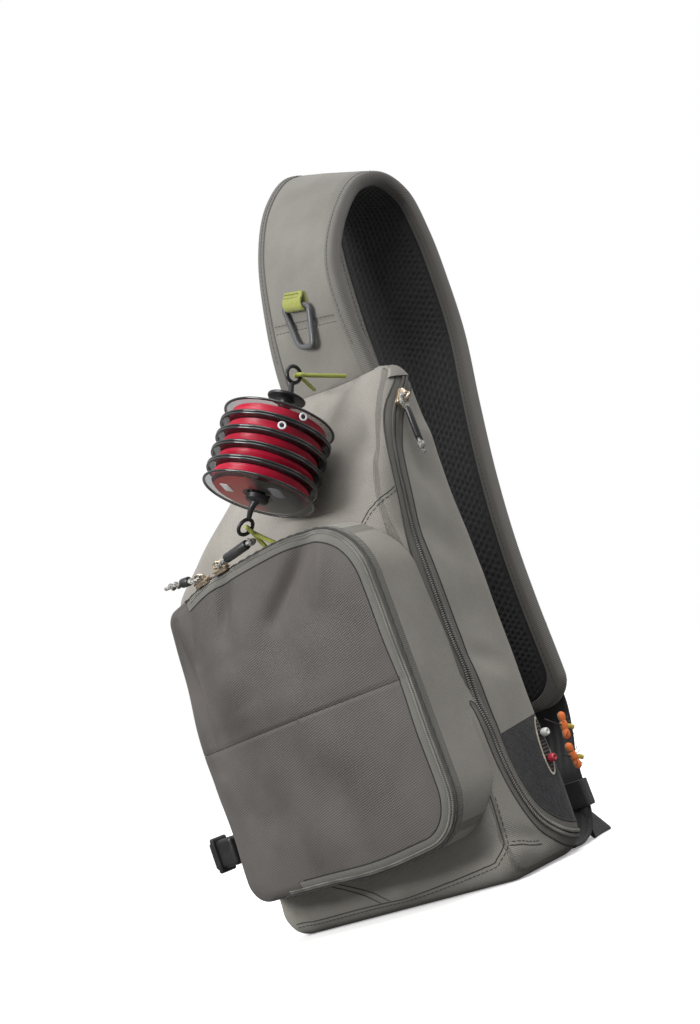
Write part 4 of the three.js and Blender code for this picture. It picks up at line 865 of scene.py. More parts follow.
# Body seams
# The front is pieced from several cuts of cloth. Seams run from the zip to the pocket's corner, from the pocket
# down round the base and across the base in a folded strip, most with a row of stitches beside them.
SEAM_DEPTH = 0.1
SEAMS = (
    {"name": "side_dart", "beside": 2.2,
     "through": ((102.5, -22, 241), (96, -29, 236), (88, -34, 230), (78, -37, 224))},
    {"name": "base_panel", "beside": 2.4,
     "through": ((99, -33, 52), (97.3, -33.5, 28.2), (96.5, -34, 22.5), (90, -36, 16.5), (80.9, -36.8, 13.5),
                 (25, -36, 8.5), (-30, -36, 8.5), (-88, -34, 10))},
    {"name": "base_corner", "beside": 2.2,
     "through": ((98.5, -32.5, 21.5), (103, -18, 17), (103, -4.6, 13.8))},
    {"name": "strip_left", "beside": 0, "through": ((-44, -38, 27), (-20, -38, 17), (-8, -37, 8))},
    {"name": "strip_right", "beside": 0, "through": ((-38, -38, 28), (-12, -38, 17), (0, -37, 8))},
)
skin_tree = BVHTree.FromObject(skin, bpy.context.evaluated_depsgraph_get())


def laid_on(tree, points):
    """Points moved to the nearest places on a surface, with the surface's outward directions."""
    found = [tree.find_nearest(Vector(p) * MM) for p in np.asarray(points, float)]
    return np.array([f[0] for f in found]) / MM, unit(np.array([f[1] for f in found]))


def stitch_frames(points, outs, pitch=3.6):
    run_at = np.concatenate([[0], np.cumsum(np.linalg.norm(np.diff(points, axis=0), axis=1))])
    made = []
    for s in np.arange(pitch, run_at[-1] - pitch * 0.5, pitch):
        p, q = (np.array([np.interp(s + d, run_at, points[:, k]) for k in range(3)]) for d in (-0.5, 0.5))
        o = unit(np.array([np.interp(s, run_at, outs[:, k]) for k in range(3)]))
        r = unit(q - p)
        made.append(((p + q) / 2, (r, unit(np.cross(o, r)), o)))
    return made


STITCH = (1.5, 0.28, 0.26)
thread = Finish("grey_thread", roughness=0.75)
thread_twist = (thread.x + thread.y + thread.z).wave(0.6 * MM) * 0.5 + 0.5
thread.set(Base_Color=thread_twist.mixed((0.035, 0.033, 0.030), (0.11, 0.105, 0.095)))
thread.raised(thread_twist, distance=0.0001)
seam_pieces, seam_stitches = [], []
for row in SEAMS:
    through = np.array(row["through"], float)
    line, out = softened(*laid_on(skin_tree, spaced(spline(through, np.linspace(0, 1, 400)), pitch=1.6)), 4)
    seam_pieces.append(tube(f"body_seam_{row['name']}", line - out * SEAM_DEPTH, 0.42, sides=8, ends=2.0))
    if row["beside"]:
        side = unit(np.cross(out, unit(np.gradient(line, axis=0))))
        beside_at, beside_out = laid_on(skin_tree, line + side * row["beside"])
        seam_stitches += stitch_frames(beside_at + beside_out * 0.1, beside_out)
body_seams = joined("body_seam_lines", seam_pieces)
# The seam cords are painted darker than the cloth: painted shadow in each seam's fold.
seam_shade = Finish("seam_shadow", roughness=0.9)
seam_shade.set(Base_Color=seam_shade.noise(0.004).mixed((0.040, 0.037, 0.033), (0.085, 0.079, 0.070)))
finished(body_seams, seam_shade.material, "bag", slot="grey_cloth")
body_stitches = row_of("body_stitches", seed_ball(STITCH, 6, 5), seam_stitches)
finished(body_stitches, thread.material, "bag", slot="binding_cloth")

# Front pocket
# A raised pocket sewn on the front: a dark coated door in two panels with a seam, a light woven band with a
# fine coil zip round it, wavy piping outside the band, and a grey side wall that meets the body.
POCKET_WIDTH = 175
POCKET_HEIGHT = 207
POCKET_LIFT = 29
POCKET_DEPTH = 31
POCKET_WALL = 1.8
POCKET_EDGE = 8
POCKET_CROWN = 4
POCKET_SHIFT = 14.5
POCKET_FLARE = 30
BAND_WIDTH = 8
SEAM_HEIGHT = 131
FLARE_AT_TOP = 0.35
HINGE_TOP = 0.1
HINGE_BOTTOM = 0.22
POCKET_FOLD_DEPTH = 1.25
POCKET_WAVE = 1.3
PANEL_SEAM_DEPTH = 0.7
PANEL_SEAM_WIDTH = 1.3
SIDE_DEPTH = (0, 0.08, 0.26, 0.7, 1.3, 3)
SIDE_OUT = (0, 0.22, 0.55, 0.85, 1, 1)
POCKET_CORNERS = (
    {"x": -1, "up": 0.01, "radius": 0.086},
    {"x": 0.2, "up": 0, "radius": 1.486},
    {"x": 1, "up": 0.035, "radius": 0.194},
    {"x": 0.99, "up": 0.955, "radius": 0.229},
    {"x": 0.35, "up": 1, "radius": 0.914},
    {"x": -0.5, "up": 0.985, "radius": 0.686},
    {"x": -1, "up": 0.94, "radius": 0.057},
)
pocket_left = POCKET_SHIFT - POCKET_WIDTH / 2
pocket_front = -BACK_Y - POCKET_DEPTH
pocket_top = POCKET_LIFT + POCKET_HEIGHT
pocket_outline = rounded(
    [
        {
            "at": (POCKET_SHIFT + c["x"] * POCKET_WIDTH / 2, POCKET_LIFT + c["up"] * POCKET_HEIGHT),
            "radius": c["radius"] * POCKET_WIDTH,
        }
        for c in POCKET_CORNERS
    ],
    440,
)

# Dents and ridges of the pocket's cloth, as the body's are listed.
POCKET_FOLDS = (
    {"from": (-14, -70, 224), "to": (-26, -70, 196), "wide": 6.5, "deep": 4.2, "to_side": (0, 1, 0)},
    {"from": (58, -70, 226), "to": (18, -71, 192), "wide": 6.5, "deep": 5.0, "to_side": (0, 1, 0)},
    {"from": (76, -70, 222), "to": (60, -70, 194), "wide": 7, "deep": -2.0, "to_side": (0, 1, 0)},
    {"from": (4, -70, 210), "to": (-8, -70, 180), "wide": 13, "deep": -2.4, "to_side": (0, 1, 0)},
    {"from": (-69, -68, 216), "to": (-72, -67, 118), "wide": 4.5, "deep": 2.6, "to_side": (0, 1, 0)},
    {"from": (-52, -70, 222), "to": (-60, -70, 190), "wide": 6, "deep": 2.4, "to_side": (0, 1, 0)},
    {"from": (30, -72, 220), "to": (52, -72, 190), "wide": 14, "deep": 1.2, "to_side": (0, 1, 0)},
    {"from": (-34, -72, 180), "to": (-30, -72, 150), "wide": 20, "deep": -2.6, "to_side": (0, 1, 0)},
    {"from": (-72, -70, 205), "to": (-60, -70, 90), "wide": 7, "deep": 1.8, "to_side": (0, 1, 0)},
    {"from": (-66, -70, 148), "to": (60, -72, 140), "wide": 9, "deep": -0.6, "to_side": (0, 1, 0)},
    {"from": (-60, -70, 96), "to": (-10, -72, 60), "wide": 18, "deep": 1.0, "to_side": (0, 1, 0)},
    {"from": (60, -72, 116), "to": (76, -72, 66), "wide": 14, "deep": 1.0, "to_side": (0, 1, 0)},
    {"from": (-90, -50, 200), "to": (-100, -48, 150), "wide": 10, "deep": 1.6, "to_side": (1, 0.4, 0)},
    {"from": (-94, -56, 110), "to": (-98, -46, 60), "wide": 12, "deep": 1.6, "to_side": (1, 0.4, 0)},
)


def pocket_bulge(x, y, z):
    to_left = smooth(((POCKET_SHIFT - x) / (POCKET_WIDTH / 2) - 0.2) / 0.76)
    depth = np.maximum(0, (y - pocket_front) / POCKET_DEPTH)
    height = smooth(((z - POCKET_LIFT) / POCKET_HEIGHT - 0.45) / 0.55)
    return to_left * POCKET_FLARE * follow(SIDE_DEPTH, SIDE_OUT, depth) * (1 - height * (1 - FLARE_AT_TOP))


def pocket_fold(points):
    give = pressed(points, POCKET_FOLDS) * POCKET_FOLD_DEPTH
    give[:, 1] += ripple(points, 46, 11) * POCKET_WAVE
    seam = np.exp(-(((points[:, 2] - SEAM_HEIGHT) / PANEL_SEAM_WIDTH) ** 2)) * PANEL_SEAM_DEPTH
    give[:, 1] += seam * (points[:, 1] < pocket_front + POCKET_EDGE)
    return give * smooth((POCKET_DEPTH * 0.9 - (points[:, 1:2] - pocket_front)) / 12)


def pocket_skin(name, offset, back_y, edges=(POCKET_EDGE, POCKET_EDGE)):
    steps = {"front": 46, "edge": 10, "side": 12, "back": 4}
    front, back = np.vectorize(lambda z: pocket_front), np.vectorize(lambda z: back_y)
    rings = bag_rings(pocket_outline, front, back, edges, (POCKET_CROWN, 0), offset, steps,
                      fold=pocket_fold, bulge=pocket_bulge)
    return ball_form(name, rings)


def door_zone(name, gap):
    low, high = (pocket_left + POCKET_WIDTH * share + gap for share in (HINGE_BOTTOM, HINGE_TOP))
    inside = slab(name, moved(pocket_outline, gap - BAND_WIDTH), "y", -FAR, FAR)
    hinge = slab("hinge", [(-FAR, 0), (low, 0), (high, pocket_top), (high, FAR), (-FAR, FAR)], "y", -FAR, FAR)
    return cut(inside, hinge, "UNION")


def front_of(name, y, low=-FAR, high=FAR):
    return block(name, (-FAR, -FAR, low), (FAR, y, high))


band_back = pocket_front + POCKET_EDGE + POCKET_WALL
hinge_wall = pocket_left + 2
pocket_outside = pocket_skin("pocket_outside", 0, 0)
pocket_inside = pocket_skin("pocket_inside", -POCKET_WALL, BACK_EDGE)
pocket_shell = cut(copy_of(pocket_outside, "pocket_shell"), pocket_inside)
cut(pocket_shell, keep_out, keep=True)
door_space = cut(door_zone("door_space", 0), front_of("door_front", band_back), "INTERSECT")
cut(door_space, block("left_strip", (-FAR, -FAR, -FAR), (hinge_wall, FAR, FAR)), "UNION")
door = cut(copy_of(pocket_shell, "pocket_door"), door_space, "INTERSECT")
upper = cut(copy_of(door, "pocket_door_upper"), front_of("above", FAR, SEAM_HEIGHT + GAP / 2), "INTERSECT")
lower = cut(door, front_of("below", FAR, -FAR, SEAM_HEIGHT - GAP / 2), "INTERSECT")
lower.name = "pocket_door_lower"
frame_shell = cut(pocket_shell, block("strip_cut", (-FAR, -FAR, -FAR), (hinge_wall + GAP, FAR, FAR)))
band = cut(copy_of(frame_shell, "pocket_band"), front_of("band_front", band_back), "INTERSECT")
cut(band, door_zone("door_cut", GAP))
gusset = cut(frame_shell, front_of("gusset_front", band_back + GAP))
gusset.name = "pocket_side_wall"

coated = Finish("coated_door_cloth", roughness=0.6, Sheen_Weight=0.08)
weft = (coated.x + coated.z * 0.25).wave(1.3 * MM) * 0.5 + 0.5
warp = (coated.z - coated.x * 0.25).wave(1.3 * MM) * 0.5 + 0.5
bloom = coated.noise(0.045, detail=4).between(0.3, 0.7)
speck = coated.noise(0.0009, detail=3)
coated_tone = weft * warp * 0.3 + bloom * 0.4 + speck * 0.3
coated.set(Base_Color=coated_tone.mixed((0.038, 0.033, 0.030), (0.120, 0.107, 0.097)))
coated.set(Roughness=bloom.between(0, 1, 0.5, 0.68))
coated.raised(weft * 0.5 + warp * 0.5 + speck * 0.7, distance=0.0003, strength=0.8)
finished(upper, coated.material, "bag", "pocket_panel_upper", slot="dark_cloth")
finished(lower, coated.material, "bag", "pocket_panel_lower", slot="dark_cloth")

woven = Finish("woven_band_cloth", roughness=0.88, Sheen_Weight=0.1)
over = (woven.x + woven.z).wave(1.1 * MM) * 0.5 + 0.5
under = (woven.x - woven.z).wave(1.1 * MM) * 0.5 + 0.5
woven_tone = over * 0.4 + under * 0.4 + woven.noise(0.02) * 0.2
woven.set(Base_Color=woven_tone.mixed((0.095, 0.091, 0.080), (0.215, 0.208, 0.185)))
woven.raised(over + under, distance=0.00025, strength=0.8)
finished(band, woven.material, "bag", "pocket_zip_band", slot="light_zip")
finished(gusset, grey_cloth, "bag", "pocket_gusset", slot="grey_cloth")

# The coil runs in the outer part of the band, the piping along its outer edge, and a dark line of shadow round
# the door.
pocket_cast = surface_of(pocket_outside)


def on_front(inset, pitch):
    """Places on the pocket's front along a line inside its outline, with their outward directions."""
    line = spaced(moved(pocket_outline, -inset), pitch=pitch, closed=True)
    centre_at = pocket_outline.mean(axis=0)
    away = unit(line - centre_at)
    lean = 0.9 * smooth((POCKET_EDGE * 0.7 - inset) / POCKET_EDGE * 1.4)
    starts = np.stack([line[:, 0] + away[:, 0] * lean * 60, np.full(len(line), pocket_front - 60.0),
                       line[:, 1] + away[:, 1] * lean * 60], axis=1)
    ways = np.stack([-away[:, 0] * lean * 60, np.full(len(line), 64.0), -away[:, 1] * lean * 60], axis=1)
    hits, normals = [], []
    for p, w in zip(starts, unit(ways)):
        hit, normal = pocket_cast([p], w)
        if len(hit):
            hits.append(hit[0])
            normals.append(normal[0])
    return softened(np.array(hits), np.array(normals), 4)


line_at, line_out = on_front(3.1, 1.15)
run = unit(np.roll(line_at, -1, axis=0) - np.roll(line_at, 1, axis=0))
sideways = unit(np.cross(line_out, run))
shown = line_at[:, 0] > pocket_left + POCKET_WIDTH * 0.13
coil_frames = [
    (p + s * side * 0.85 + o * 0.25 + r * side * 0.28, (r, s, o))
    for side in (-1, 1)
    for p, r, s, o, here in zip(line_at, run, sideways, line_out, shown)
    if here
]
pocket_coil = row_of("pocket_zip_coil", seed_ball((0.42, 0.75, 0.42), 6, 5), coil_frames)
coil_light = Finish("light_coil", roughness=0.55)
coil_shade = coil_light.noise(0.015).between(0.3, 0.7)
coil_light.set(Base_Color=coil_shade.mixed((0.20, 0.195, 0.175), (0.31, 0.30, 0.27)))
coil_light.raised(coil_light.noise(0.0005), distance=0.0001)
finished(pocket_coil, coil_light.material, "bag", slot="light_zip")

edge_at, edge_out = on_front(0.35, 1.6)
wavy = edge_at + edge_out * (0.35 + 0.25 * np.sin(np.arange(len(edge_at)) * 1.35))[:, None]
start = int(np.argmin(edge_at[:, 0]))
wavy = np.roll(wavy, -start, axis=0)
wavy = wavy[wavy[:, 0] > pocket_left + POCKET_WIDTH * 0.09]
pocket_piping = tube("pocket_piping", wavy, 0.8, sides=8)
finished(pocket_piping, piping_and_shadow_cloth.material, "bag", slot="binding_cloth")

door_at, door_out = on_front(BAND_WIDTH + 0.1, 2.0)
hinge_share = HINGE_BOTTOM + (HINGE_TOP - HINGE_BOTTOM) * (door_at[:, 2] - POCKET_LIFT) / POCKET_HEIGHT
keep = door_at[:, 0] > pocket_left + POCKET_WIDTH * hinge_share + 1.5
first_kept = int(np.argmax(keep & ~np.roll(keep, 1)))
door_line = np.roll(door_at, -first_kept, axis=0)[: int(keep.sum())]
door_out = np.roll(door_out, -first_kept, axis=0)[: int(keep.sum())]
door_shadow = tube("pocket_door_shadow", door_line - door_out * 0.25, 0.55, sides=8)
finished(door_shadow, painted_shadow_black.material, "bag", slot="dark_zip")


# Padded strap
# A wide padded strap that arches from the bag's top down behind it: grey twill outside, black spacer mesh
# inside, and a ribbed grosgrain binding folded round its edge and stitched through.
STRAP_WIDTH = 80
STRAP_RISE = 178
STRAP_REACH = 100
STRAP_SHIFT = 50
COVER = 5
LINING = 3
BINDING_WIDTH = 9
BINDING_PROUD = 0.8
STRAP_END_CORNER = 22
STRAP_ROWS = (
    {"left": (-0.5, -0.21, -0.04), "right": (0.5, -0.21, -0.08)},
    {"left": (-0.5, -0.2, 0.1), "right": (0.5, -0.24, 0.0)},
    {"left": (-0.5, -0.13, 0.3), "right": (0.5, -0.27, 0.16)},
    {"left": (-0.5, 0.04, 0.58), "right": (0.5, -0.23, 0.34)},
    {"left": (-0.5, 0.3, 0.8), "right": (0.5, 0.02, 0.54)},
    {"left": (-0.48, 0.62, 0.93), "right": (0.5, 0.36, 0.69)},
    {"left": (-0.47, 0.87, 0.92), "right": (0.5, 0.68, 0.72)},
    {"left": (-0.48, 0.98, 0.74), "right": (0.5, 0.88, 0.65)},
    {"left": (-0.5, 0.92, 0.5), "right": (0.5, 0.95, 0.48)},
    {"left": (-0.5, 0.87, 0.26), "right": (0.5, 0.95, 0.28)},
    {"left": (-0.5, 0.87, 0.04), "right": (0.51, 0.9, 0.05)},
    {"left": (-0.47, 0.79, -0.14), "right": (0.54, 0.73, -0.13)},
    {"left": (-0.42, 0.66, -0.28), "right": (0.58, 0.57, -0.28)},
    {"left": (-0.34, 0.52, -0.42), "right": (0.62, 0.46, -0.42)},
    {"left": (-0.24, 0.46, -0.55), "right": (0.65, 0.41, -0.55)},
    {"left": (-0.16, 0.41, -0.65), "right": (0.665, 0.4, -0.65)},
    {"left": (-0.12, 0.41, -0.745), "right": (0.65, 0.42, -0.745)},
)


def strap_point(across, back, up):
    rise = STRAP_RISE if up > 0 else BODY_HEIGHT
    return (STRAP_SHIFT + across * STRAP_WIDTH, BACK_Y + back * STRAP_REACH, BODY_HEIGHT + up * rise)


def curve_at(points, at):
    """Places on a smooth curve through points, each stretch weighted by its length."""
    points = np.asarray(points, float)
    padded = np.vstack([2 * points[0] - points[1], points, 2 * points[-1] - points[-2]])
    at = np.clip(np.atleast_1d(np.asarray(at, float)), 0, 1) * (len(points) - 1)
    i = np.minimum(at.astype(int), len(points) - 2)
    t = (at - i)[:, None]
    a, b, c, d = (padded[i + k] for k in range(4))
    step = [np.linalg.norm(q - p, axis=1, keepdims=True) ** 0.5 for p, q in ((a, b), (b, c), (c, d))]
    start = ((b - a) / step[0] - (c - a) / (step[0] + step[1]) + (c - b) / step[1]) * step[1]
    end = ((c - b) / step[1] - (d - b) / (step[1] + step[2]) + (d - c) / step[2]) * step[1]
    return (2 * b - 2 * c + start + end) * t**3 + (-3 * b + 3 * c - 2 * start - end) * t**2 + start * t + b


left_edge = [strap_point(*row["left"]) for row in STRAP_ROWS]
right_edge = [strap_point(*row["right"]) for row in STRAP_ROWS]
dense = np.linspace(0, 1, 1200)
strap_length = sum(
    np.linalg.norm(np.diff(curve_at(edge, dense), axis=0), axis=1).sum() for edge in (left_edge, right_edge)
) / 2


class StrapFrames:
    """Places along the strap: its middle, width, and the directions across, along and out of it."""

    def __init__(self, at):
        at = np.atleast_1d(np.asarray(at, float))
        left, right = curve_at(left_edge, at), curve_at(right_edge, at)
        ways = [
            unit(curve_at(edge, np.minimum(at + 1e-4, 1)) - curve_at(edge, np.maximum(at - 1e-4, 0)))
            for edge in (left_edge, right_edge)
        ]
        self.middle = (left + right) / 2
        self.width = np.linalg.norm(right - left, axis=1)
        self.run = unit(ways[0] + ways[1])
        self.across = unit(right - left)
        self.out = unit(np.cross(self.across, self.run))

    def place(self, u, n):
        """Points at distances u across and n outwards, one row for each place along the strap."""
        u, n = np.asarray(u, float), np.asarray(n, float)
        return self.middle[:, None] + self.across[:, None] * u[..., None] + self.out[:, None] * n[..., None]


def strap_stations(edge, stop, count, corner=14):
    end = 1 - stop / strap_length
    round_from = end - STRAP_END_CORNER / strap_length
    straight = np.linspace(0, round_from, count)
    share = np.sin(np.linspace(0, math.pi / 2, corner + 1))[1:]
    share[-1] = 0.995
    inset = edge + STRAP_END_CORNER * (1 - np.sqrt(1 - share**2))
    at = np.concatenate([straight, round_from + (end - round_from) * share])
    return at, np.concatenate([np.full(count, float(edge)), inset])


def strap_layer(name, low, high, count, sides, puff):
    """One layer of the strap between two levels. puff(along, u) is how far its open face swells."""
    edge = BINDING_WIDTH + GAP / 2
    at, inset = strap_stations(edge, edge, count)
    frames = StrapFrames(at)
    half = frames.width / 2 - inset
    shares = np.linspace(-1, 1, sides)
    u = np.concatenate([shares, shares[::-1]])[None] * half[:, None]
    over = np.full((len(at), sides), float(low))
    under = np.full((len(at), sides), float(high))
    swell = puff(at[:, None] * strap_length, shares[None] * half[:, None])
    rim = smooth((1 - np.abs(shares)) * half[:, None] / 5)
    under += math.copysign(1, high - low) * swell[:, ::-1] * rim[:, ::-1]
    return lofted(name, frames.place(u, np.concatenate([over, under], axis=1)))


def cover_puff(along, u):
    flat = np.stack(np.broadcast_arrays(along, u * 1.0, 0 * u), axis=-1).reshape(-1, 3)
    wave = ripple(flat, 55, 21).reshape(np.broadcast(along, u).shape)
    cross = -1.1 * np.exp(-(((along - CROSS_SEAM) / 2.2) ** 2))
    return 1.3 + 0.55 * wave + cross


def lining_puff(along, u):
    k = 4 * math.pi / math.sqrt(3) / HOLE_PITCH
    turns = (0, math.pi / 3, 2 * math.pi / 3)
    holes = sum(np.cos(k * (u * math.cos(t) + along * math.sin(t))) for t in turns)
    return 0.9 - 0.75 * smooth((holes - 0.2) / 1.8)


CROSS_SEAM = 0.115 * strap_length
cover = strap_layer("strap_cover_cloth", -COVER + GAP / 2, 0, 210, 34, cover_puff)
lining = strap_layer("strap_lining_mesh", -COVER - GAP / 2, -COVER - LINING, 560, 70, lining_puff)
cut(cover, keep_out, keep=True)
cut(lining, keep_out, keep=True)


def uv_twill(name, light, dark, pitch=1.5):
    made = Finish(name, roughness=0.82, Sheen_Weight=0.12, Sheen_Roughness=0.5)
    u, v = made.surface()
    ribs = (u * 0.8 + v).wave(pitch * MM) * 0.5 + 0.5
    cross = (u - v * 0.7).wave(pitch * MM * 0.8) * 0.5 + 0.5
    cloud = made.noise(0.05, detail=4).between(0.3, 0.7)
    grain = made.noise(0.0012, detail=2)
    made.set(Base_Color=(ribs * 0.35 + cross * 0.15 + cloud * 0.25 + grain * 0.25).mixed(dark, light))
    made.raised(ribs * 0.7 + cross * 0.3 + grain * 0.5, distance=0.0002, strength=0.6)
    return made.material


# The strap's twill is the body's grey cloth painted darker: painted shade on the strap.
STRAP_LIGHT = (0.245, 0.232, 0.207)
STRAP_DARK = (0.096, 0.090, 0.080)
finished(cover, uv_twill("strap_twill_shaded", STRAP_LIGHT, STRAP_DARK), "bag", "strap_cover", slot="grey_cloth")
lining_cloth = Finish("spacer_mesh_strap", roughness=0.85, Sheen_Weight=0.2)
u, v = lining_cloth.surface()
yarn = lining_cloth.noise(0.0007, detail=3)
lining_cloth.set(Base_Color=yarn.between(0.35, 0.65).mixed((0.005, 0.005, 0.006), (0.024, 0.024, 0.026)))
lining_cloth.raised(yarn, distance=0.0004, strength=0.8)
finished(lining, lining_cloth.material, "bag", "strap_lining", slot="spacer_mesh")


def strap_binding():
    low, high = -COVER - LINING - BINDING_PROUD, BINDING_PROUD
    outer, inset_out = strap_stations(0, 0, 190, 22)
    inner, inset_in = strap_stations(BINDING_WIDTH, BINDING_WIDTH, 190, 22)
    thick = high - low
    angle = np.linspace(-math.pi / 2, math.pi / 2, 11)
    nose = [(1 - 0.30 + 0.30 * math.cos(a), 0.5 + 0.5 * math.sin(a)) for a in angle]
    lip = [(0.0, 0.94), (0.05, 1.0)]
    shares = [*nose, lip[1], lip[0], (0.0, 0.06), (0.05, 0.0)]
    runs = []
    for side in (-1, 1):
        f_out, f_in = StrapFrames(outer), StrapFrames(inner)
        a = f_out.middle + f_out.across * (side * (f_out.width / 2 - inset_out))[:, None]
        b = f_in.middle + f_in.across * (side * (f_in.width / 2 - inset_in))[:, None]
        rings = []
        for k in range(len(outer)):
            ring = []
            for share, level in shares:
                base = b[k] + (a[k] - b[k]) * share
                out = f_in.out[k] + (f_out.out[k] - f_in.out[k]) * share
                ring.append(base + out * (low + thick * level))
            rings.append(ring)
        runs.append(rings)
    return lofted("strap_edge_binding", np.array([*runs[0], *runs[1][::-1]]))


binding = cut(strap_binding(), keep_out, keep=True)
grosgrain = Finish("grosgrain_binding", roughness=0.85, Sheen_Weight=0.15)
u, v = grosgrain.surface()
ribs = (v + u * 0.55).wave(1.7 * MM) * 0.5 + 0.5
fine = u.wave(0.8 * MM) * 0.5 + 0.5
rib_tone = ribs * 0.7 + fine * 0.15 + grosgrain.noise(0.03) * 0.15
grosgrain.set(Base_Color=rib_tone.mixed((0.072, 0.068, 0.061), (0.190, 0.181, 0.163)))
grosgrain.raised(ribs * 0.85 + fine * 0.15, distance=0.0004, strength=0.8)
finished(binding, grosgrain.material, "bag", "strap_binding", slot="binding_cloth")

# Stitches run through the binding all round, and across the strap above its foot.
frames = StrapFrames(np.linspace(0.07, 0.985, 420))
stitches = []
for side in (-1, 1):
    for level, out_way in ((BINDING_PROUD + 0.05, 1), (-COVER - LINING - BINDING_PROUD - 0.05, -1)):
        u = side * (frames.width / 2 - BINDING_WIDTH * 0.66)
        line = frames.middle + frames.across * u[:, None] + frames.out * level
        stitches += stitch_frames(line, frames.out * out_way)
for place in (CROSS_SEAM - 3, CROSS_SEAM + 3):
    here = StrapFrames(np.full(60, place / strap_length))
    u = np.linspace(-1, 1, 60) * (here.width / 2 - BINDING_WIDTH - 1)
    swell = cover_puff(np.full((60, 1), place), u[:, None])[:, 0]
    swell = swell * smooth((here.width / 2 - BINDING_WIDTH - np.abs(u)) / 5)
    stitches += stitch_frames(here.middle + here.across * u[:, None] + here.out * swell[:, None], here.out)
strap_stitches = row_of("strap_stitches", seed_ball(STITCH, 6, 5), stitches)
finished(strap_stitches, thread.material, "bag", slot="binding_cloth")


# Ring and tab
# A flat grey plastic ring hangs on a short tab of yellow-green webbing, folded round its bar and sewn to the
# strap.
RING_ALONG = 0.137
RING_WIDTH = 32
RING_LENGTH = 33
RING_ROD = 4
RING_WEB = 1.6
RING_WEB_WIDTH = 19
RING_TAB_LENGTH = 10

seat = StrapFrames(RING_ALONG)
seat_axes = np.array([seat.across[0], seat.run[0], seat.out[0]])
seat_at = seat.middle[0] + seat.out[0] * (RING_WEB + RING_ROD / 2 + 2 * GAP)


def ring_form(name, loops):
    """A torus primitive laid over closed loops of points: loops[place round the ring, step]."""
    loops = np.asarray(loops, float)
    total, count = loops.shape[:2]
    deselect()
    bpy.ops.mesh.primitive_torus_add(major_segments=total, minor_segments=count,
                                     major_radius=2, minor_radius=1)
    piece = bpy.context.object
    piece.name = name
    co = points_of(piece)
    turn = np.rint(np.arctan2(co[:, 1], co[:, 0]) / (2 * math.pi) * total).astype(int) % total
    across = np.hypot(co[:, 0], co[:, 1]) - 2
    step = np.rint(np.arctan2(co[:, 2], across) / (2 * math.pi) * count).astype(int) % count
    set_points(piece, loops[turn, step])
    return edited(piece, outward)


def section(width, height, round_by, count=16):
    """A rounded oblong section as points about its middle."""
    w, h = width / 2, height / 2
    r = min(round_by, w * 0.98, h * 0.98)
    corners = [{"at": at, "radius": r} for at in ((-w, -h), (w, -h), (w, h), (-w, h))]
    return rounded(corners, count)


ring_outline = rounded(
    [
        {"at": (-RING_WIDTH / 2, RING_ROD / 2), "radius": RING_ROD * 1.3},
        {"at": (-RING_WIDTH * 0.28, RING_ROD / 2 - RING_LENGTH), "radius": RING_WIDTH * 0.24},
        {"at": (RING_WIDTH * 0.28, RING_ROD / 2 - RING_LENGTH), "radius": RING_WIDTH * 0.24},
        {"at": (RING_WIDTH / 2, RING_ROD / 2), "radius": RING_ROD * 1.3},
    ],
    96,
)
rod_line = moved(ring_outline, -RING_ROD / 2)
rod_way = unit(np.roll(rod_line, -1, axis=0) - np.roll(rod_line, 1, axis=0))
rod_side = np.stack([rod_way[:, 1], -rod_way[:, 0]], axis=1)
oblong = section(RING_ROD, RING_ROD * 0.9, RING_ROD * 0.36)
loops = np.zeros((len(rod_line), len(oblong), 3))
loops[:, :, :2] = rod_line[:, None] + rod_side[:, None] * oblong[None, :, :1]
loops[:, :, 2] = oblong[None, :, 1]
ring = ring_form("accessory_ring_rod", seat_at + loops @ seat_axes)


def moulded(name, colour, roughness, grain=0.00035, tone=0.25, **constants):
    """Moulded plastic: fine spark grain, and rubbed, paler patches."""
    made = Finish(name, roughness=roughness, **constants)
    spark = made.noise(grain, detail=3)
    rubbed = made.noise(0.012, detail=3).between(0.35, 0.7)
    pale = tuple(min(1, c * (1 + tone) + 0.004) for c in colour)
    made.set(Base_Color=(rubbed * 0.7 + spark * 0.3).mixed(colour, pale))
    made.set(Roughness=rubbed.between(0, 1, roughness - 0.05, roughness + 0.1))
    made.raised(spark, distance=0.00008, strength=0.5)
    return made.material


grey_plastic = moulded("grey_plastic", (0.072, 0.073, 0.078), 0.42)
black_plastic = moulded("black_plastic", (0.011, 0.011, 0.012), 0.38)
finished(ring, grey_plastic, "bag", "accessory_ring", slot="grey_plastic")

bar_hole = RING_ROD / 2 + GAP * 0.6
tab_side = [
    (RING_TAB_LENGTH, -bar_hole - RING_WEB * 0.5),
    (RING_TAB_LENGTH * 0.66, -bar_hole - RING_WEB * 0.5),
    (RING_TAB_LENGTH * 0.33, -bar_hole - RING_WEB * 0.5),
]
wrap_angle = np.linspace(0, math.pi, 18)
radius = bar_hole + RING_WEB / 2
wrap = [(-radius * math.sin(a), -radius * math.cos(a)) for a in wrap_angle]
over_tab = [(2.0, radius), (4.5, radius * 0.72), (7.0, radius * 0.1), (RING_TAB_LENGTH, -radius * 0.25)]
tab_line = spaced(np.array([*tab_side, *wrap, *over_tab]), count=60)
tab_way = unit(np.gradient(tab_line, axis=0))
tab_out = np.stack([-tab_way[:, 1], tab_way[:, 0]], axis=1)
flat = section(RING_WEB_WIDTH, RING_WEB, RING_WEB * 0.3, 36)
rings = np.zeros((len(tab_line), len(flat), 3))
rings[:, :, 0] = flat[None, :, 0]
rings[:, :, 1:] = tab_line[:, None] + tab_out[:, None] * flat[None, :, 1:]
tab = lofted("green_tab_webbing", seat_at + rings @ seat_axes)

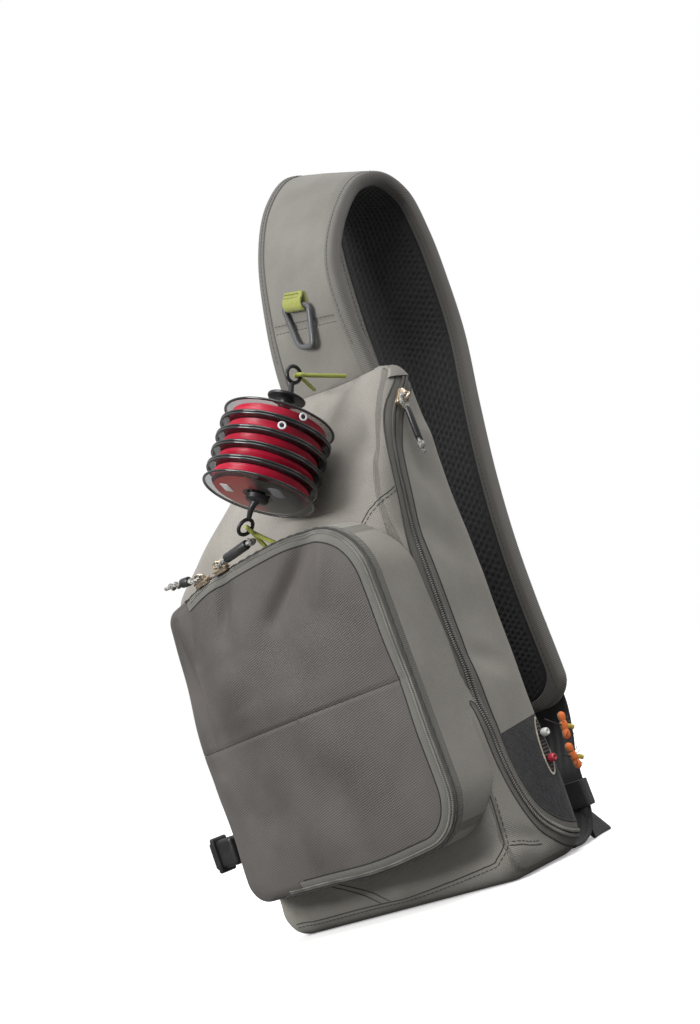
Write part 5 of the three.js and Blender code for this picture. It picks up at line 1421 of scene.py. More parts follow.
green = Finish("green_webbing", roughness=0.75, Sheen_Weight=0.2)
u, v = green.surface()
chevron = ((u * (1 / 0.0045)).math("FRACT") - 0.5).math("ABSOLUTE") * 0.0045
weave = (v + chevron * 1.2).wave(1.1 * MM) * 0.5 + 0.5
green.set(Base_Color=(weave * 0.8 + green.noise(0.004) * 0.2).mixed((0.17, 0.19, 0.025), (0.40, 0.42, 0.085)))
green.raised(weave, distance=0.0003, strength=0.8)
finished(tab, green.material, "bag", "green_tab", slot="green_elastic")

green_thread = Finish("green_thread", roughness=0.7)
green_thread.set(Base_Color=green_thread.noise(0.001).mixed((0.09, 0.10, 0.01), (0.20, 0.22, 0.04)))
green_thread.raised(green_thread.noise(0.0006), distance=0.0001)
bars = []
for y, level in ((5.8, radius * 0.45), (8.6, -radius * 0.02)):
    for x in np.arange(-7.5, 7.6, 1.9):
        at = seat_at + np.array([x, y, level + RING_WEB * 0.55]) @ seat_axes
        bars.append((at, seat_axes))
tab_stitches = row_of("green_tab_stitches", seed_ball((0.85, 0.32, 0.3), 6, 5), bars)
finished(tab_stitches, green_thread.material, "bag", slot="green_elastic")


# Lower webbing
# A black herringbone webbing, sewn to the strap's outer face. It bulges, hangs behind the strap's end in a
# smooth keeper and turns in under the bag. Its cut tail lies outside it, twists and rests on the ground.
WEB_WIDTH = 38
WEB = 1.8
KEEPER_LENGTH = 17
KEEPER_WALL = 1.4
TAIL_SLANT = 0.35
TAIL_TWIST = -56
ANCHOR_BACK = (0.485, 0.515, 0.54, 0.52, 0.455, 0.442, 0.44, 0.38, 0.3, 0.285, 0.285, 0.282, 0.22, 0.12, 0.0)
ANCHOR_UP = (0.448, 0.432, 0.41, 0.38, 0.345, 0.3, 0.25, 0.19, 0.14, 0.115, 0.087, 0.055, 0.022,
             0.0075, 0.0065)
TAIL_BACK = (0.36, 0.325, 0.312, 0.31, 0.312, 0.35, 0.43, 0.56)
TAIL_UP = (0.155, 0.135, 0.115, 0.087, 0.055, 0.03, 0.013, 0.004)
KEEPER_ROW = 10
web_right = STRAP_SHIFT + STRAP_WIDTH * 0.525
web_middle = web_right - WEB_WIDTH / 2


def side_line(back, up, count):
    points = np.stack([BACK_Y + np.array(back) * STRAP_REACH, np.array(up) * BODY_HEIGHT], axis=1)
    return spaced(spline(points, np.linspace(0, 1, 900)), count=count)


def webbing(name, line, width, thick, slant=0.0, twist=0.0):
    """A flat woven strap along a line seen from the side. slant cuts its end, twist turns its end on edge."""
    way = unit(np.gradient(line, axis=0))
    out = np.stack([-way[:, 1], way[:, 0]], axis=1)
    flat = section(width, thick, thick * 0.42, 44)
    turned = (math.radians(twist) * smooth((np.linspace(0, 1, len(line)) - 0.3) / 0.6))[:, None]
    rings = np.zeros((len(line), len(flat), 3))
    rings[:, :, 0] = web_middle + flat[None, :, 0] * np.cos(turned) - flat[None, :, 1] * np.sin(turned)
    rise = flat[None, :, 0] * np.sin(turned) + flat[None, :, 1] * np.cos(turned)
    rings[:, :, 1:] = line[:, None] + out[:, None] * rise[:, :, None]
    rings[:, :, 2] += np.maximum(0, GAP - rings[:, :, 2].min(axis=1))[:, None]
    if slant:
        past = smooth((np.arange(len(line)) - len(line) * 0.72) / (len(line) * 0.28))
        back = (flat[:, 0] / width - 0.5) * slant * width
        rings[:, :, 1:] += (way[-1] * back[:, None])[None] * past[:, None, None]
    return lofted(name, rings)


herring = Finish("black_webbing", roughness=0.78, Sheen_Weight=0.15)
u, v = herring.surface()
chevron = ((u * (1 / 0.0055)).math("FRACT") - 0.5).math("ABSOLUTE") * 0.0055
weave = (v + chevron * 1.6).wave(1.3 * MM) * 0.5 + 0.5
weave_tone = weave * 0.8 + herring.noise(0.006) * 0.2
herring.set(Base_Color=weave_tone.mixed((0.006, 0.006, 0.007), (0.050, 0.050, 0.053)))
herring.raised(weave, distance=0.00045, strength=0.9)
anchor = webbing("anchor_strap", side_line(ANCHOR_BACK, ANCHOR_UP, 240), WEB_WIDTH, WEB)
cut(anchor, keep_out, keep=True)
finished(anchor, herring.material, "bag", "anchor_webbing", slot="black_webbing")
tail_line = side_line(TAIL_BACK, TAIL_UP, 110)
tail = webbing("tail_strap", tail_line, WEB_WIDTH, WEB, slant=TAIL_SLANT, twist=TAIL_TWIST)
finished(tail, herring.material, "bag", "tail_webbing", slot="black_webbing")

keeper_at = (BACK_Y + ANCHOR_BACK[KEEPER_ROW] * STRAP_REACH, ANCHOR_UP[KEEPER_ROW] * BODY_HEIGHT)
low_y, high_y = keeper_at[0] - WEB / 2 - GAP, keeper_at[0] + WEB * 1.5 + 5 * GAP
wide = WEB_WIDTH + 2 * GAP + KEEPER_WALL
deep = high_y - low_y + KEEPER_WALL
path = section(wide, deep, 1.6, 120)
path_way = unit(np.roll(path, -1, axis=0) - np.roll(path, 1, axis=0))
path_side = np.stack([path_way[:, 1], -path_way[:, 0]], axis=1)
strip_section = section(KEEPER_WALL, KEEPER_LENGTH, 0.5, 24)
loops = np.zeros((len(path), len(strip_section), 3))
spread_at = path[:, None] + path_side[:, None] * strip_section[None, :, :1]
loops[:, :, 0] = web_middle + spread_at[:, :, 0]
loops[:, :, 1] = (low_y + high_y) / 2 + spread_at[:, :, 1]
loops[:, :, 2] = keeper_at[1] + strip_section[None, :, 1]
keeper = ring_form("web_keeper_loop", loops)
keeper_cloth = Finish("keeper_elastic", roughness=0.6, Sheen_Weight=0.1)
keeper_rib = keeper_cloth.z.wave(0.9 * MM) * 0.5 + 0.5
keeper_tone = keeper_rib * 0.4 + keeper_cloth.noise(0.01) * 0.6
keeper_cloth.set(Base_Color=keeper_tone.mixed((0.018, 0.018, 0.020), (0.055, 0.055, 0.058)))
keeper_cloth.raised(keeper_rib, distance=0.00015, strength=0.6)
finished(keeper, keeper_cloth.material, "bag", "web_keeper", slot="black_webbing")


# Side buckle
# The female half of a black side release buckle, on a short webbing from the left seam.
BUCKLE_LENGTH = 24
BUCKLE_WIDTH = 20
BUCKLE_THICK = 10
BUCKLE_FLANGE = 4
BUCKLE_HEIGHT = 66
BUCKLE_WEB_LENGTH = 40
BUCKLE_WEB_WIDTH = 16
web_end = -BODY_WIDTH / 2 - BUCKLE_WEB_LENGTH
buckle_x = web_end - GAP
buckle_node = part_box("side_buckle")
buckle_y = (buckle_node[0][1] + buckle_node[1][1]) / 2 / MM



def buckle_block(name, start, end, thick, wide, bevel, segments=3, middle_z=BUCKLE_HEIGHT):
    """A block from start to end along the buckle, thick and wide to either side of its middle."""
    low = (start, buckle_y - thick, middle_z - wide)
    return block(name, low, (end, buckle_y + thick, middle_z + wide), bevel, segments)


buckle = buckle_block("buckle_body", buckle_x - BUCKLE_LENGTH, buckle_x, BUCKLE_THICK / 2,
                      BUCKLE_WIDTH / 2, 2.6, 5)
flange_x = buckle_x - BUCKLE_LENGTH * 0.8
flange = buckle_block("buckle_flange", flange_x, flange_x + BUCKLE_FLANGE, BUCKLE_THICK * 0.7,
                      BUCKLE_WIDTH * 0.62, 1.4, 4)
cut(buckle, flange, "UNION")
mouth = (BUCKLE_THICK - BUCKLE_FLANGE) / 2
cut(buckle, buckle_block("socket", -FAR, buckle_x - BUCKLE_LENGTH * 0.3, mouth, BUCKLE_WIDTH * 0.36, 1.2))
for side in (-1, 1):
    edge_z = BUCKLE_HEIGHT + side * BUCKLE_WIDTH / 2
    cut(buckle, buckle_block("window", buckle_x - BUCKLE_LENGTH * 0.62, buckle_x - BUCKLE_LENGTH * 0.22,
                             mouth * 0.8, 4, 1.0, middle_z=edge_z))
buckle.name = "side_buckle_half"
finished(buckle, black_plastic, "bag", "side_buckle", slot="black_plastic", angle=35)

flat = section(BUCKLE_WEB_WIDTH, WEB, 0.7, 36)
rings = np.zeros((60, len(flat), 3))
rings[:, :, 0] = np.linspace(web_end, -BODY_WIDTH / 2 + 4, 60)[:, None]
rings[:, :, 1] = buckle_y + flat[None, :, 1]
rings[:, :, 2] = BUCKLE_HEIGHT + flat[None, :, 0]
buckle_web = cut(lofted("buckle_strap", rings), keep_out, keep=True)
finished(buckle_web, herring.material, "bag", "buckle_web", slot="black_webbing")


# Line spools
# Five clear smoke spools that turn on a black spindle: thin flanges with dark glossy rims, crimson line wound
# in fine ridges, and small eyelets that hold the line's end. The lowest carries a bare round label.
SPOOL_COUNT = 5
SPOOL_PITCH = 9.8
SPOOL_RADIUS = 35
FLANGE = 1.3
HUB_RADIUS = 20
LINE_RADIUS = 30
SPINDLE_RADIUS = 4
CAP_RADIUS = 12
CAP_OFFSET = 15
HUB_END = 5
HOOK_REACH = 18
HOOK_ROD = 2.4
EYE_RADIUS = 5.2
SPOOL_SIDES = 96
STRAND = 0.62

stack_joint = frame["record"]["behaviour"]["joints"][0]
stack_axis = Vector(stack_joint["axis"]).normalized()
stack_top = Vector(stack_joint["pos_m"]) / MM - stack_axis * (SPOOL_PITCH - GAP) / 2
stack_turn = Vector((0, 1, 0)).rotation_difference(stack_axis).to_matrix()
stack_axes = np.array(stack_turn.transposed())
stack_length = SPOOL_COUNT * SPOOL_PITCH - GAP


def from_stack(points):
    return np.array(stack_top) + np.asarray(points, float) @ stack_axes


def revolved(name, profile, sides=SPOOL_SIDES):
    """A closed profile of (radius, height) turned round the stack's axis."""
    angle = np.linspace(0, 2 * math.pi, sides + 1)[:-1]
    profile = np.asarray(profile, float)
    loops = np.stack([
        profile[None, :, 0] * np.cos(angle)[:, None],
        np.broadcast_to(profile[None, :, 1], (sides, len(profile))),
        profile[None, :, 0] * np.sin(angle)[:, None],
    ], axis=2)
    return ring_form(name, from_stack(loops))


def pole(name, profile, sides=48):
    """A profile that starts and ends near the stack's axis, turned round it."""
    angle = np.linspace(0, 2 * math.pi, sides + 1)[:-1]
    rings = [[(r * math.cos(a), y, r * math.sin(a)) for a in angle] for r, y in profile]
    return lofted(name, from_stack(rings))


def bare(colour_low, colour_high, name, roughness, size=0.01, **constants):
    made = Finish(name, roughness=roughness, **constants)
    made.set(Base_Color=made.noise(size, detail=3).between(0.3, 0.7).mixed(colour_low, colour_high))
    made.raised(made.noise(0.0006), distance=0.00006, strength=0.4)
    return made.material


smoke = Finish("smoke_plastic", roughness=0.12, Coat_Weight=0.6, Coat_Roughness=0.05, Alpha=0.42)
smoke_cloud = smoke.noise(0.02, detail=2).between(0.3, 0.7)
smoke.set(Base_Color=smoke_cloud.mixed((0.02, 0.02, 0.021), (0.06, 0.06, 0.064)))
smoke.raised(smoke.noise(0.006), distance=0.0002, strength=0.3)
rim_gloss = bare((0.006, 0.006, 0.007), (0.016, 0.016, 0.018), "rim_gloss", 0.14,
                 Coat_Weight=0.7, Coat_Roughness=0.08)


def along_way(made, way):
    """How far a place lies along a direction."""
    inputs = {0: made.place, 1: tuple(way)}
    return made.place.node("ShaderNodeVectorMath", {"operation": "DOT_PRODUCT"}, inputs, out=1)


crimson = Finish("crimson_line", roughness=0.34, Coat_Weight=0.35, Coat_Roughness=0.2)
strand = along_way(crimson, stack_axis).wave(STRAND * MM) * 0.5 + 0.5
crimson_tone = strand * 0.6 + crimson.noise(0.006) * 0.4
crimson.set(Base_Color=crimson_tone.mixed((0.30, 0.002, 0.020), (0.78, 0.012, 0.060)))
crimson.raised(strand, distance=0.00025, strength=0.8)

for i in range(SPOOL_COUNT):
    low = i * SPOOL_PITCH
    high = low + SPOOL_PITCH - GAP
    bore = SPINDLE_RADIUS + GAP
    edge = SPOOL_RADIUS - 1.5
    spool = revolved(f"spool_{i + 1}_clear", [
        (bore, low), (bore + 2, low), (edge * 0.6, low), (edge, low), (edge, low + FLANGE),
        (HUB_RADIUS + 0.6, low + FLANGE), (HUB_RADIUS, low + FLANGE + 0.6),
        (HUB_RADIUS, high - FLANGE - 0.6), (HUB_RADIUS + 0.6, high - FLANGE),
        (edge, high - FLANGE), (edge, high), (edge * 0.6, high), (bore + 2, high), (bore, high),
        (bore, high - 2), (bore, low + 2),
    ])
    finished(spool, smoke.material, f"line_spool_{i + 1}", f"spool_{i + 1}", slot="smoke_plastic", angle=30)
    for label, y in (("upper", low + FLANGE / 2), ("lower", high - FLANGE / 2)):
        angle = np.linspace(0, 2 * math.pi, 15)[:-1]
        lip = [(SPOOL_RADIUS - 0.9 + 0.9 * math.cos(a), y + (FLANGE / 2 + 0.15) * math.sin(a)) for a in angle]
        rim_ring = revolved(f"spool_{i + 1}_rim_{label}", lip, 120)
        finished(rim_ring, rim_gloss, f"line_spool_{i + 1}", slot="black_plastic", angle=60)
    inner, outer = low + FLANGE + GAP, high - FLANGE - GAP
    turns = np.linspace(inner + 0.1, outer - 0.1, 41)
    ridge = LINE_RADIUS - 0.14 + 0.14 * np.cos((turns - inner) * 2 * math.pi / STRAND)
    crown = ridge - 0.5 * (np.abs(turns - (inner + outer) / 2) / (outer - inner) * 2) ** 4
    profile = [(HUB_RADIUS + GAP, inner), *zip(crown, turns), (HUB_RADIUS + GAP, outer)]
    wound = revolved(f"line_winding_{i + 1}", profile)
    finished(wound, crimson.material, f"line_spool_{i + 1}", f"wound_line_{i + 1}", slot="crimson_line",
             angle=60)

# The label on the lowest spool is bare: a ring, brick red to dark, with a plain white plate and a grey one.
label_y = stack_length + 0.14
label_low = stack_length + 0.02
label_profile = [(9.5, label_low), (27.5, label_low), (27.6, label_y - 0.03), (27.4, label_y), (9.6, label_y)]
label = revolved("spool_5_label", label_profile)
paper = Finish("label_print", roughness=0.45, Coat_Weight=0.3)
side_way = Vector(from_stack([[1, 0, 0.2]])[0] - from_stack([[0, 0, 0]])[0])
centre_shift = float(Vector(from_stack([[0, label_y, 0]])[0]) @ side_way) * MM
paper_grain = paper.noise(0.0015)
shift = along_way(paper, side_way) + paper_grain * 0.002
face = shift.between(centre_shift - 0.006, centre_shift + 0.006)
paper.set(Base_Color=face.mixed((0.33, 0.032, 0.026), (0.022, 0.020, 0.021)))
paper.raised(paper_grain, distance=0.00005, strength=0.4)
finished(label, paper.material, "line_spool_5", slot="smoke_plastic")


def plate(name, middle, width, height, round_by, material):
    outline = section(width, height, round_by, 40) + np.array(middle)
    levels = (label_y + 0.02, label_y + 0.16, label_y + 0.2)
    rings = [
        [(x, y, z) for x, z in np.array(middle) + (outline - np.array(middle)) * shrink]
        for y, shrink in zip(levels, (1, 1, 0.96))
    ]
    made = lofted(name, from_stack(rings))
    finished(made, material, "line_spool_5", slot="smoke_plastic")


white_plate = bare((0.62, 0.61, 0.60), (0.82, 0.81, 0.80), "white_plate", 0.5)
grey_plate = bare((0.11, 0.11, 0.115), (0.19, 0.19, 0.20), "grey_plate", 0.5)
plate("spool_5_plate_white", (-18.5, -6.5), 5.5, 11, 0.6, white_plate)
plate("spool_5_plate_grey", (15.5, -8.0), 8, 14, 2.6, grey_plate)

# Eyelets: a pale ring round a dark disc of painted shade in its hole, through the rims of the first two spools.
EYELET_TURNS = (math.radians(318), math.radians(300))
EYELET_REACH = SPOOL_RADIUS - 0.35
eyelet_white = bare((0.55, 0.55, 0.56), (0.75, 0.75, 0.76), "eyelet_plastic", 0.35)
for i, turn_at in enumerate(EYELET_TURNS):
    out = np.array([math.cos(turn_at), 0, math.sin(turn_at)])
    side = np.array([-math.sin(turn_at), 0, math.cos(turn_at)])
    at = out * EYELET_REACH + (0, i * SPOOL_PITCH + (SPOOL_PITCH - GAP) / 2, 0)
    angle = np.linspace(0, 2 * math.pi, 29)[:-1]
    small = np.linspace(0, 2 * math.pi, 11)[:-1]
    loops = [
        [at + (2.0 + 0.62 * math.cos(b)) * (math.cos(a) * side + math.sin(a) * np.array([0, 1, 0]))
         + 0.5 * math.sin(b) * out for b in small]
        for a in angle
    ]
    eyelet = ring_form(f"spool_{i + 1}_eyelet", from_stack(loops))
    finished(eyelet, eyelet_white, f"line_spool_{i + 1}", slot="smoke_plastic", angle=60)
    # A dark disc of painted shade fills the eyelet's hole.
    web_rings = [
        [at + r * (math.cos(a) * side + math.sin(a) * np.array([0, 1, 0])) + out * level for a in angle]
        for r, level in ((1.3, -0.35), (1.5, -0.3), (1.5, 0.0), (1.3, 0.05))
    ]
    hole_shade_disc = lofted(f"spool_{i + 1}_eyelet_hole_shade", from_stack(web_rings))
    finished(hole_shade_disc, rim_gloss, f"line_spool_{i + 1}", slot="black_plastic")


# Spindle and hooks
# A black moulded spindle through the spools: a broad cap above, a hub below, and a curved hook at each end
# that closes in an eye.
def curve_through(points, count):
    return spaced(curve_at(points, np.linspace(0, 1, 600)), count=count)


def stack_point(x, y, z):
    return from_stack([[x, y, z]])[0]


upper_eye = stack_point(0, -CAP_OFFSET - HOOK_REACH, 0)
lower_eye = stack_point(0, stack_length + HOOK_REACH, 0) + np.array([-HOOK_REACH * 0.55, HOOK_REACH * 0.3, 0])
to_upper = stack_point(0, -CAP_OFFSET, 0)
to_lower = stack_point(0, stack_length + HUB_END * 0.5, 0)


def eye_axis(eye, start):
    way = unit(start - eye)
    side = np.array([1.0, 0, 0])
    return unit(side - way * (side @ way))


def hook(label, eye, start):
    """A bowed arm that runs into a round eye of the same rod."""
    way = unit(start - eye)
    axis = eye_axis(eye, start)
    bow = np.cross(axis, way)
    arm = [start, start + (eye - start) * 0.3 + bow * 1.4, start + (eye - start) * 0.62 + bow * 0.6,
           eye + way * EYE_RADIUS]
    angle = np.linspace(0, 2 * math.pi, 41)[:-1]
    small = np.linspace(0, 2 * math.pi, 13)[:-1]
    loops = [
        [eye + (EYE_RADIUS + HOOK_ROD / 2 * math.cos(b)) * (math.cos(a) * way + math.sin(a) * bow)
         + HOOK_ROD / 2 * math.sin(b) * axis for b in small]
        for a in angle
    ]
    swell = np.interp(np.linspace(0, 1, 28), (0, 0.3, 1), (1.25, 0.85, 0.62)) * HOOK_ROD
    rod = tube(f"{label}_arm", curve_through(arm, 28), swell, sides=16, ends=0.3)
    return [rod, ring_form(f"{label}_eye", loops)]


cap = pole("spindle_cap", [
    (0.6, -CAP_OFFSET - HOOK_ROD), (4, -CAP_OFFSET - HOOK_ROD), (9.5, -CAP_OFFSET - HOOK_ROD + 0.25),
    (CAP_RADIUS - 0.5, -CAP_OFFSET - HOOK_ROD + 0.7), (CAP_RADIUS, -CAP_OFFSET - HOOK_ROD * 0.6),
    (CAP_RADIUS, -CAP_OFFSET - HOOK_ROD * 0.3), (CAP_RADIUS - 0.5, -CAP_OFFSET), (6, -CAP_OFFSET + 0.2),
    (SPINDLE_RADIUS + 0.8, -CAP_OFFSET + 1.2), (SPINDLE_RADIUS, -CAP_OFFSET + 3), (SPINDLE_RADIUS, -4),
    (SPINDLE_RADIUS + 1.1, -2.6), (SPINDLE_RADIUS + 1.1, -1.2), (SPINDLE_RADIUS, -0.8),
    (SPINDLE_RADIUS, stack_length - 2), (SPINDLE_RADIUS, stack_length + GAP),
    (CAP_RADIUS * 0.55, stack_length + GAP + 0.1), (CAP_RADIUS * 0.6, stack_length + GAP + 0.7),
    (CAP_RADIUS * 0.58, stack_length + HUB_END - 1.2), (CAP_RADIUS * 0.46, stack_length + HUB_END - 0.2),
    (1, stack_length + HUB_END),
], 64)
hooks = [*hook("upper_hook", upper_eye, to_upper), *hook("lower_hook", lower_eye, to_lower)]
spindle = joined("spindle_with_hooks", [cap, *hooks])
finished(spindle, black_plastic, "bag", "spindle", slot="black_plastic", angle=35)


# Elastic loops
# Yellow-green elastic cord: each loop comes out of a seam, passes through a hook's eye and goes back in.
LOOP_CORD = 2.8
UPPER_LOOP_SPREAD = 28
LOWER_LOOP_SPREAD = 12
LOOP_SINK = 6

elastic_cloth = Finish("elastic_cord", roughness=0.7, Sheen_Weight=0.2)
u, v = elastic_cloth.surface()
plait = ((v + u * 0.9).wave(1.5 * MM) * 0.5 + 0.5).math("MAXIMUM", (v - u * 0.9).wave(1.5 * MM) * 0.5 + 0.5)
elastic_cloth.set(Base_Color=plait.mixed((0.14, 0.165, 0.018), (0.42, 0.46, 0.085)))
elastic_cloth.raised(plait, distance=0.0002, strength=0.8)


def elastic(name, eye, start, roots):
    axis = eye_axis(eye, start)
    aim = (roots[0] + roots[1]) / 2 - eye
    aim = unit(aim - axis * (aim @ axis))
    bar_at = eye + aim * EYE_RADIUS
    reach = (HOOK_ROD + LOOP_CORD) / 2 + 2 * GAP
    turn = [
        bar_at - aim * reach * math.cos(a) + axis * reach * math.sin(a)
        for a in (-1.9, -1.2, -0.6, 0, 0.6, 1.2, 1.9)
    ]
    path = curve_through([roots[0], *turn, roots[1]], 90)
    return path, tube(name, path, LOOP_CORD / 2, sides=14)


def shown_run(outer, path):
    """The stretch of a line outside a closed form, in metres, and its length."""
    tree = BVHTree.FromObject(outer, bpy.context.evaluated_depsgraph_get())
    kept = []
    for p in path * MM:
        spot, normal, _, _ = tree.find_nearest(Vector(p))
        if (Vector(p) - spot).dot(normal) > 0:
            kept.append(p)
    return kept, float(np.linalg.norm(np.diff(kept, axis=0), axis=1).sum())


top_level = BODY_HEIGHT * 0.975
stack_across = float(stack_point(0, stack_length / 2, 0)[0])
upper_path, upper_loop = elastic("elastic_cord_upper", upper_eye, to_upper, [
    np.array([stack_across, BACK_Y - BODY_DEPTH * 0.44, top_level]),
    np.array([stack_across + UPPER_LOOP_SPREAD, BACK_Y - BODY_DEPTH * 0.44, top_level - LOOP_SINK / 2]),
])
cut(upper_loop, keep_out, keep=True)
finished(upper_loop, elastic_cloth.material, "bag", "elastic_loop_upper", slot="green_elastic", angle=60)
upper_run, upper_length = shown_run(keep_out, upper_path)
root_y = pocket_front + POCKET_DEPTH * 0.35
lower_root = [
    np.array([lower_eye[0] + side * LOWER_LOOP_SPREAD, root_y, pocket_top - LOOP_SINK]) for side in (-0.15, 0.85)
]
lower_path, lower_loop = elastic("elastic_cord_lower", lower_eye, to_lower, lower_root)
cut(lower_loop, pocket_outside, keep=True)
finished(lower_loop, elastic_cloth.material, "bag", "elastic_loop_lower", slot="green_elastic", angle=60)
lower_run, lower_length = shown_run(pocket_outside, lower_path)


# Zip pulls
# A champagne metal slider with a bail, a speckled cord looped through it, a dark tube on the cord and a knot.
PULL_CORD = 2.6
PULL_TUBE_LENGTH = 21
PULL_TUBE_RADIUS = 3.1
SLIDER_LENGTH = 13
SLIDER_WIDTH = 9
SLIDER_HEIGHT = 3.2
BAIL_RADIUS = 4.2
BAIL_ROD = 1.6
PULL_LOOP = 3.8
COIL_HEIGHT = 1.2

brass = Finish("champagne_metal", roughness=0.26, metallic=1.0)
rub = brass.noise(0.0025, detail=4).between(0.35, 0.7)
brass.set(Base_Color=rub.mixed((0.46, 0.38, 0.28), (0.72, 0.62, 0.49)))
brass.set(Roughness=rub.between(0, 1, 0.42, 0.2))
brass.raised(brass.noise(0.0008), distance=0.00008, strength=0.5)
speckled = Finish("speckled_cord", roughness=0.85, Sheen_Weight=0.2)
u, v = speckled.surface()
plait = ((v + u * 1.1).wave(1.3 * MM) * 0.5 + 0.5) * ((v - u * 1.1).wave(1.3 * MM) * 0.5 + 0.5)
fleck = speckled.noise(0.0011, detail=2).between(0.47, 0.53)
speckled.set(Base_Color=(fleck * 0.75 + plait * 0.25).mixed((0.10, 0.098, 0.092), (0.60, 0.585, 0.54)))
speckled.raised(plait + fleck * 0.3, distance=0.0003, strength=0.9)
tube_plastic = bare((0.012, 0.012, 0.013), (0.030, 0.030, 0.033), "pull_tube_plastic", 0.42, Coat_Weight=0.15)


def knot(name, at, way, size):
    """An overhand knot: one thick turn of cord round the cord's own line, crossed by a second."""
    side = unit(np.cross(way, (0.3, 0.5, 0.81)))
    other = np.cross(way, side)
    turn = np.linspace(0, 2 * math.pi, 90, endpoint=False)
    path = [
        at + (np.cos(t) * side + np.sin(t) * other) * size * (0.52 + 0.22 * np.cos(2 * t))
        + way * size * 0.52 * np.sin(2 * t + 0.5)
        for t in turn
    ]
    path = np.array(path)
    ways = unit(np.roll(path, -1, axis=0) - np.roll(path, 1, axis=0))
    small = np.linspace(0, 2 * math.pi, 11)[:-1]
    loops = []
    for p, w in zip(path, ways):
        a = unit(p - at - way * ((p - at) @ way))
        a = unit(a - w * (a @ w))
        b = np.cross(w, a)
        loops.append([p + size * 0.42 * (math.cos(s) * a + math.sin(s) * b) for s in small])
    return ring_form(name, loops)


def zip_pull(name, at, run_way, out_way, hang, tube_length, tail, knots, tone_tube):
    across = unit(np.cross(out_way, run_way))
    axes = np.array([run_way, across, out_way])
    low = 2 * GAP + COIL_HEIGHT
    top = low + SLIDER_HEIGHT
    base = rounded(
        [
            {"at": (-SLIDER_LENGTH / 2, -SLIDER_WIDTH / 2), "radius": SLIDER_WIDTH * 0.33},
            {"at": (SLIDER_LENGTH / 2, -SLIDER_WIDTH * 0.36), "radius": SLIDER_WIDTH * 0.22},
            {"at": (SLIDER_LENGTH / 2, SLIDER_WIDTH * 0.36), "radius": SLIDER_WIDTH * 0.22},
            {"at": (-SLIDER_LENGTH / 2, SLIDER_WIDTH / 2), "radius": SLIDER_WIDTH * 0.33},
        ],
        56,
    )
    levels = ((low, 0.92), (low + 0.3, 1), (low + 0.9, 1), (low + 1.05, 0.86), (top - 1.3, 0.84),
              (top - 1.1, 0.97), (top - 0.4, 0.97), (top, 0.8))
    rings = [[(x * s, y * s, z) for x, y in base] for z, s in levels]
    body = lofted(f"{name}_slider_body", at + np.array(rings) @ axes)
    angle = np.linspace(-0.06 * math.pi, 1.06 * math.pi, 40)
    arch_height = top - 0.4 + (BAIL_RADIUS + 0.2) * np.sin(angle)
    arch = np.stack([BAIL_RADIUS * np.cos(angle), 0 * angle, arch_height], axis=1)
    bail = tube(f"{name}_bail", at + arch @ axes, BAIL_ROD / 2, sides=12, flat=1.25, side=run_way, ends=0.6)
    slider = joined(f"{name}_slider_metal", [body, bail])
    finished(slider, brass.material, "bag", f"{name}_slider", slot="slider_metal", angle=35)

    eye = at + out_way * (top + (BAIL_RADIUS - BAIL_ROD / 2) * 0.52)
    hang = unit(hang)
    drop = unit(hang - across * (hang @ across))
    loop_at = eye + drop * PULL_LOOP

    def along(distance):
        return loop_at + hang * (distance - PULL_LOOP)

    ring_end = 2 * PULL_LOOP
    reach = ring_end + tube_length + 2 * PULL_CORD
    swing = np.linspace(-0.84 * math.pi, 0.84 * math.pi, 34)
    loop_line = [
        loop_at + PULL_LOOP * (-math.cos(a) * drop * 1.05 + 0.86 * math.sin(a) * across) for a in swing
    ]
    meet = along(ring_end + 3)
    path = curve_through([meet - across * 0.4, *loop_line, meet + across * 0.4], 80)
    pieces = [tube(f"{name}_loop", path, PULL_CORD * 0.45, sides=12, side=across)]
    wobble = np.linspace(0, 1, 60)
    line = np.array([
        along(ring_end - PULL_CORD * 0.3 + s * (reach + tail - ring_end + PULL_CORD * 0.3))
        + out_way * 0.35 * math.sin(3 * s) for s in wobble
    ])
    pieces.append(tube(f"{name}_cord_line", line, PULL_CORD / 2, sides=14, ends=0.5))
    for share in knots:
        pieces.append(knot(f"{name}_knot", along(reach + share), hang, PULL_CORD * 1.02))
    cord = joined(f"{name}_cord", pieces)
    finished(cord, speckled.material, "bag", f"{name}_pull_cord", slot="pull_cord", angle=60)
    past_loop = (line - meet) @ hang > 0

    start = ring_end + PULL_CORD * 0.6
    bore = PULL_CORD / 2 + 0.35
    depth_way = np.cross(hang, across)
    angle = np.linspace(0, 2 * math.pi, 33)[:-1]
    r, e = PULL_TUBE_RADIUS, min(0.7, tube_length * 0.2)
    profile = [(bore, 0.3), (bore + 0.3, 0), (r - e, 0), (r - e * 0.3, e * 0.3), (r, e),
               (r, tube_length * 0.5), (r, tube_length - e), (r - e * 0.3, tube_length - e * 0.3),
               (r - e, tube_length), (bore + 0.3, tube_length), (bore, tube_length - 0.3),
               (bore, tube_length * 0.5)]
    loops = [
        [along(start + d) + q * (math.cos(a) * across + math.sin(a) * depth_way) for q, d in profile]
        for a in angle
    ]
    sleeve = ring_form(f"{name}_tube", loops)
    finished(sleeve, tone_tube, "bag", f"{name}_pull_tube", slot="pull_tube", angle=35)


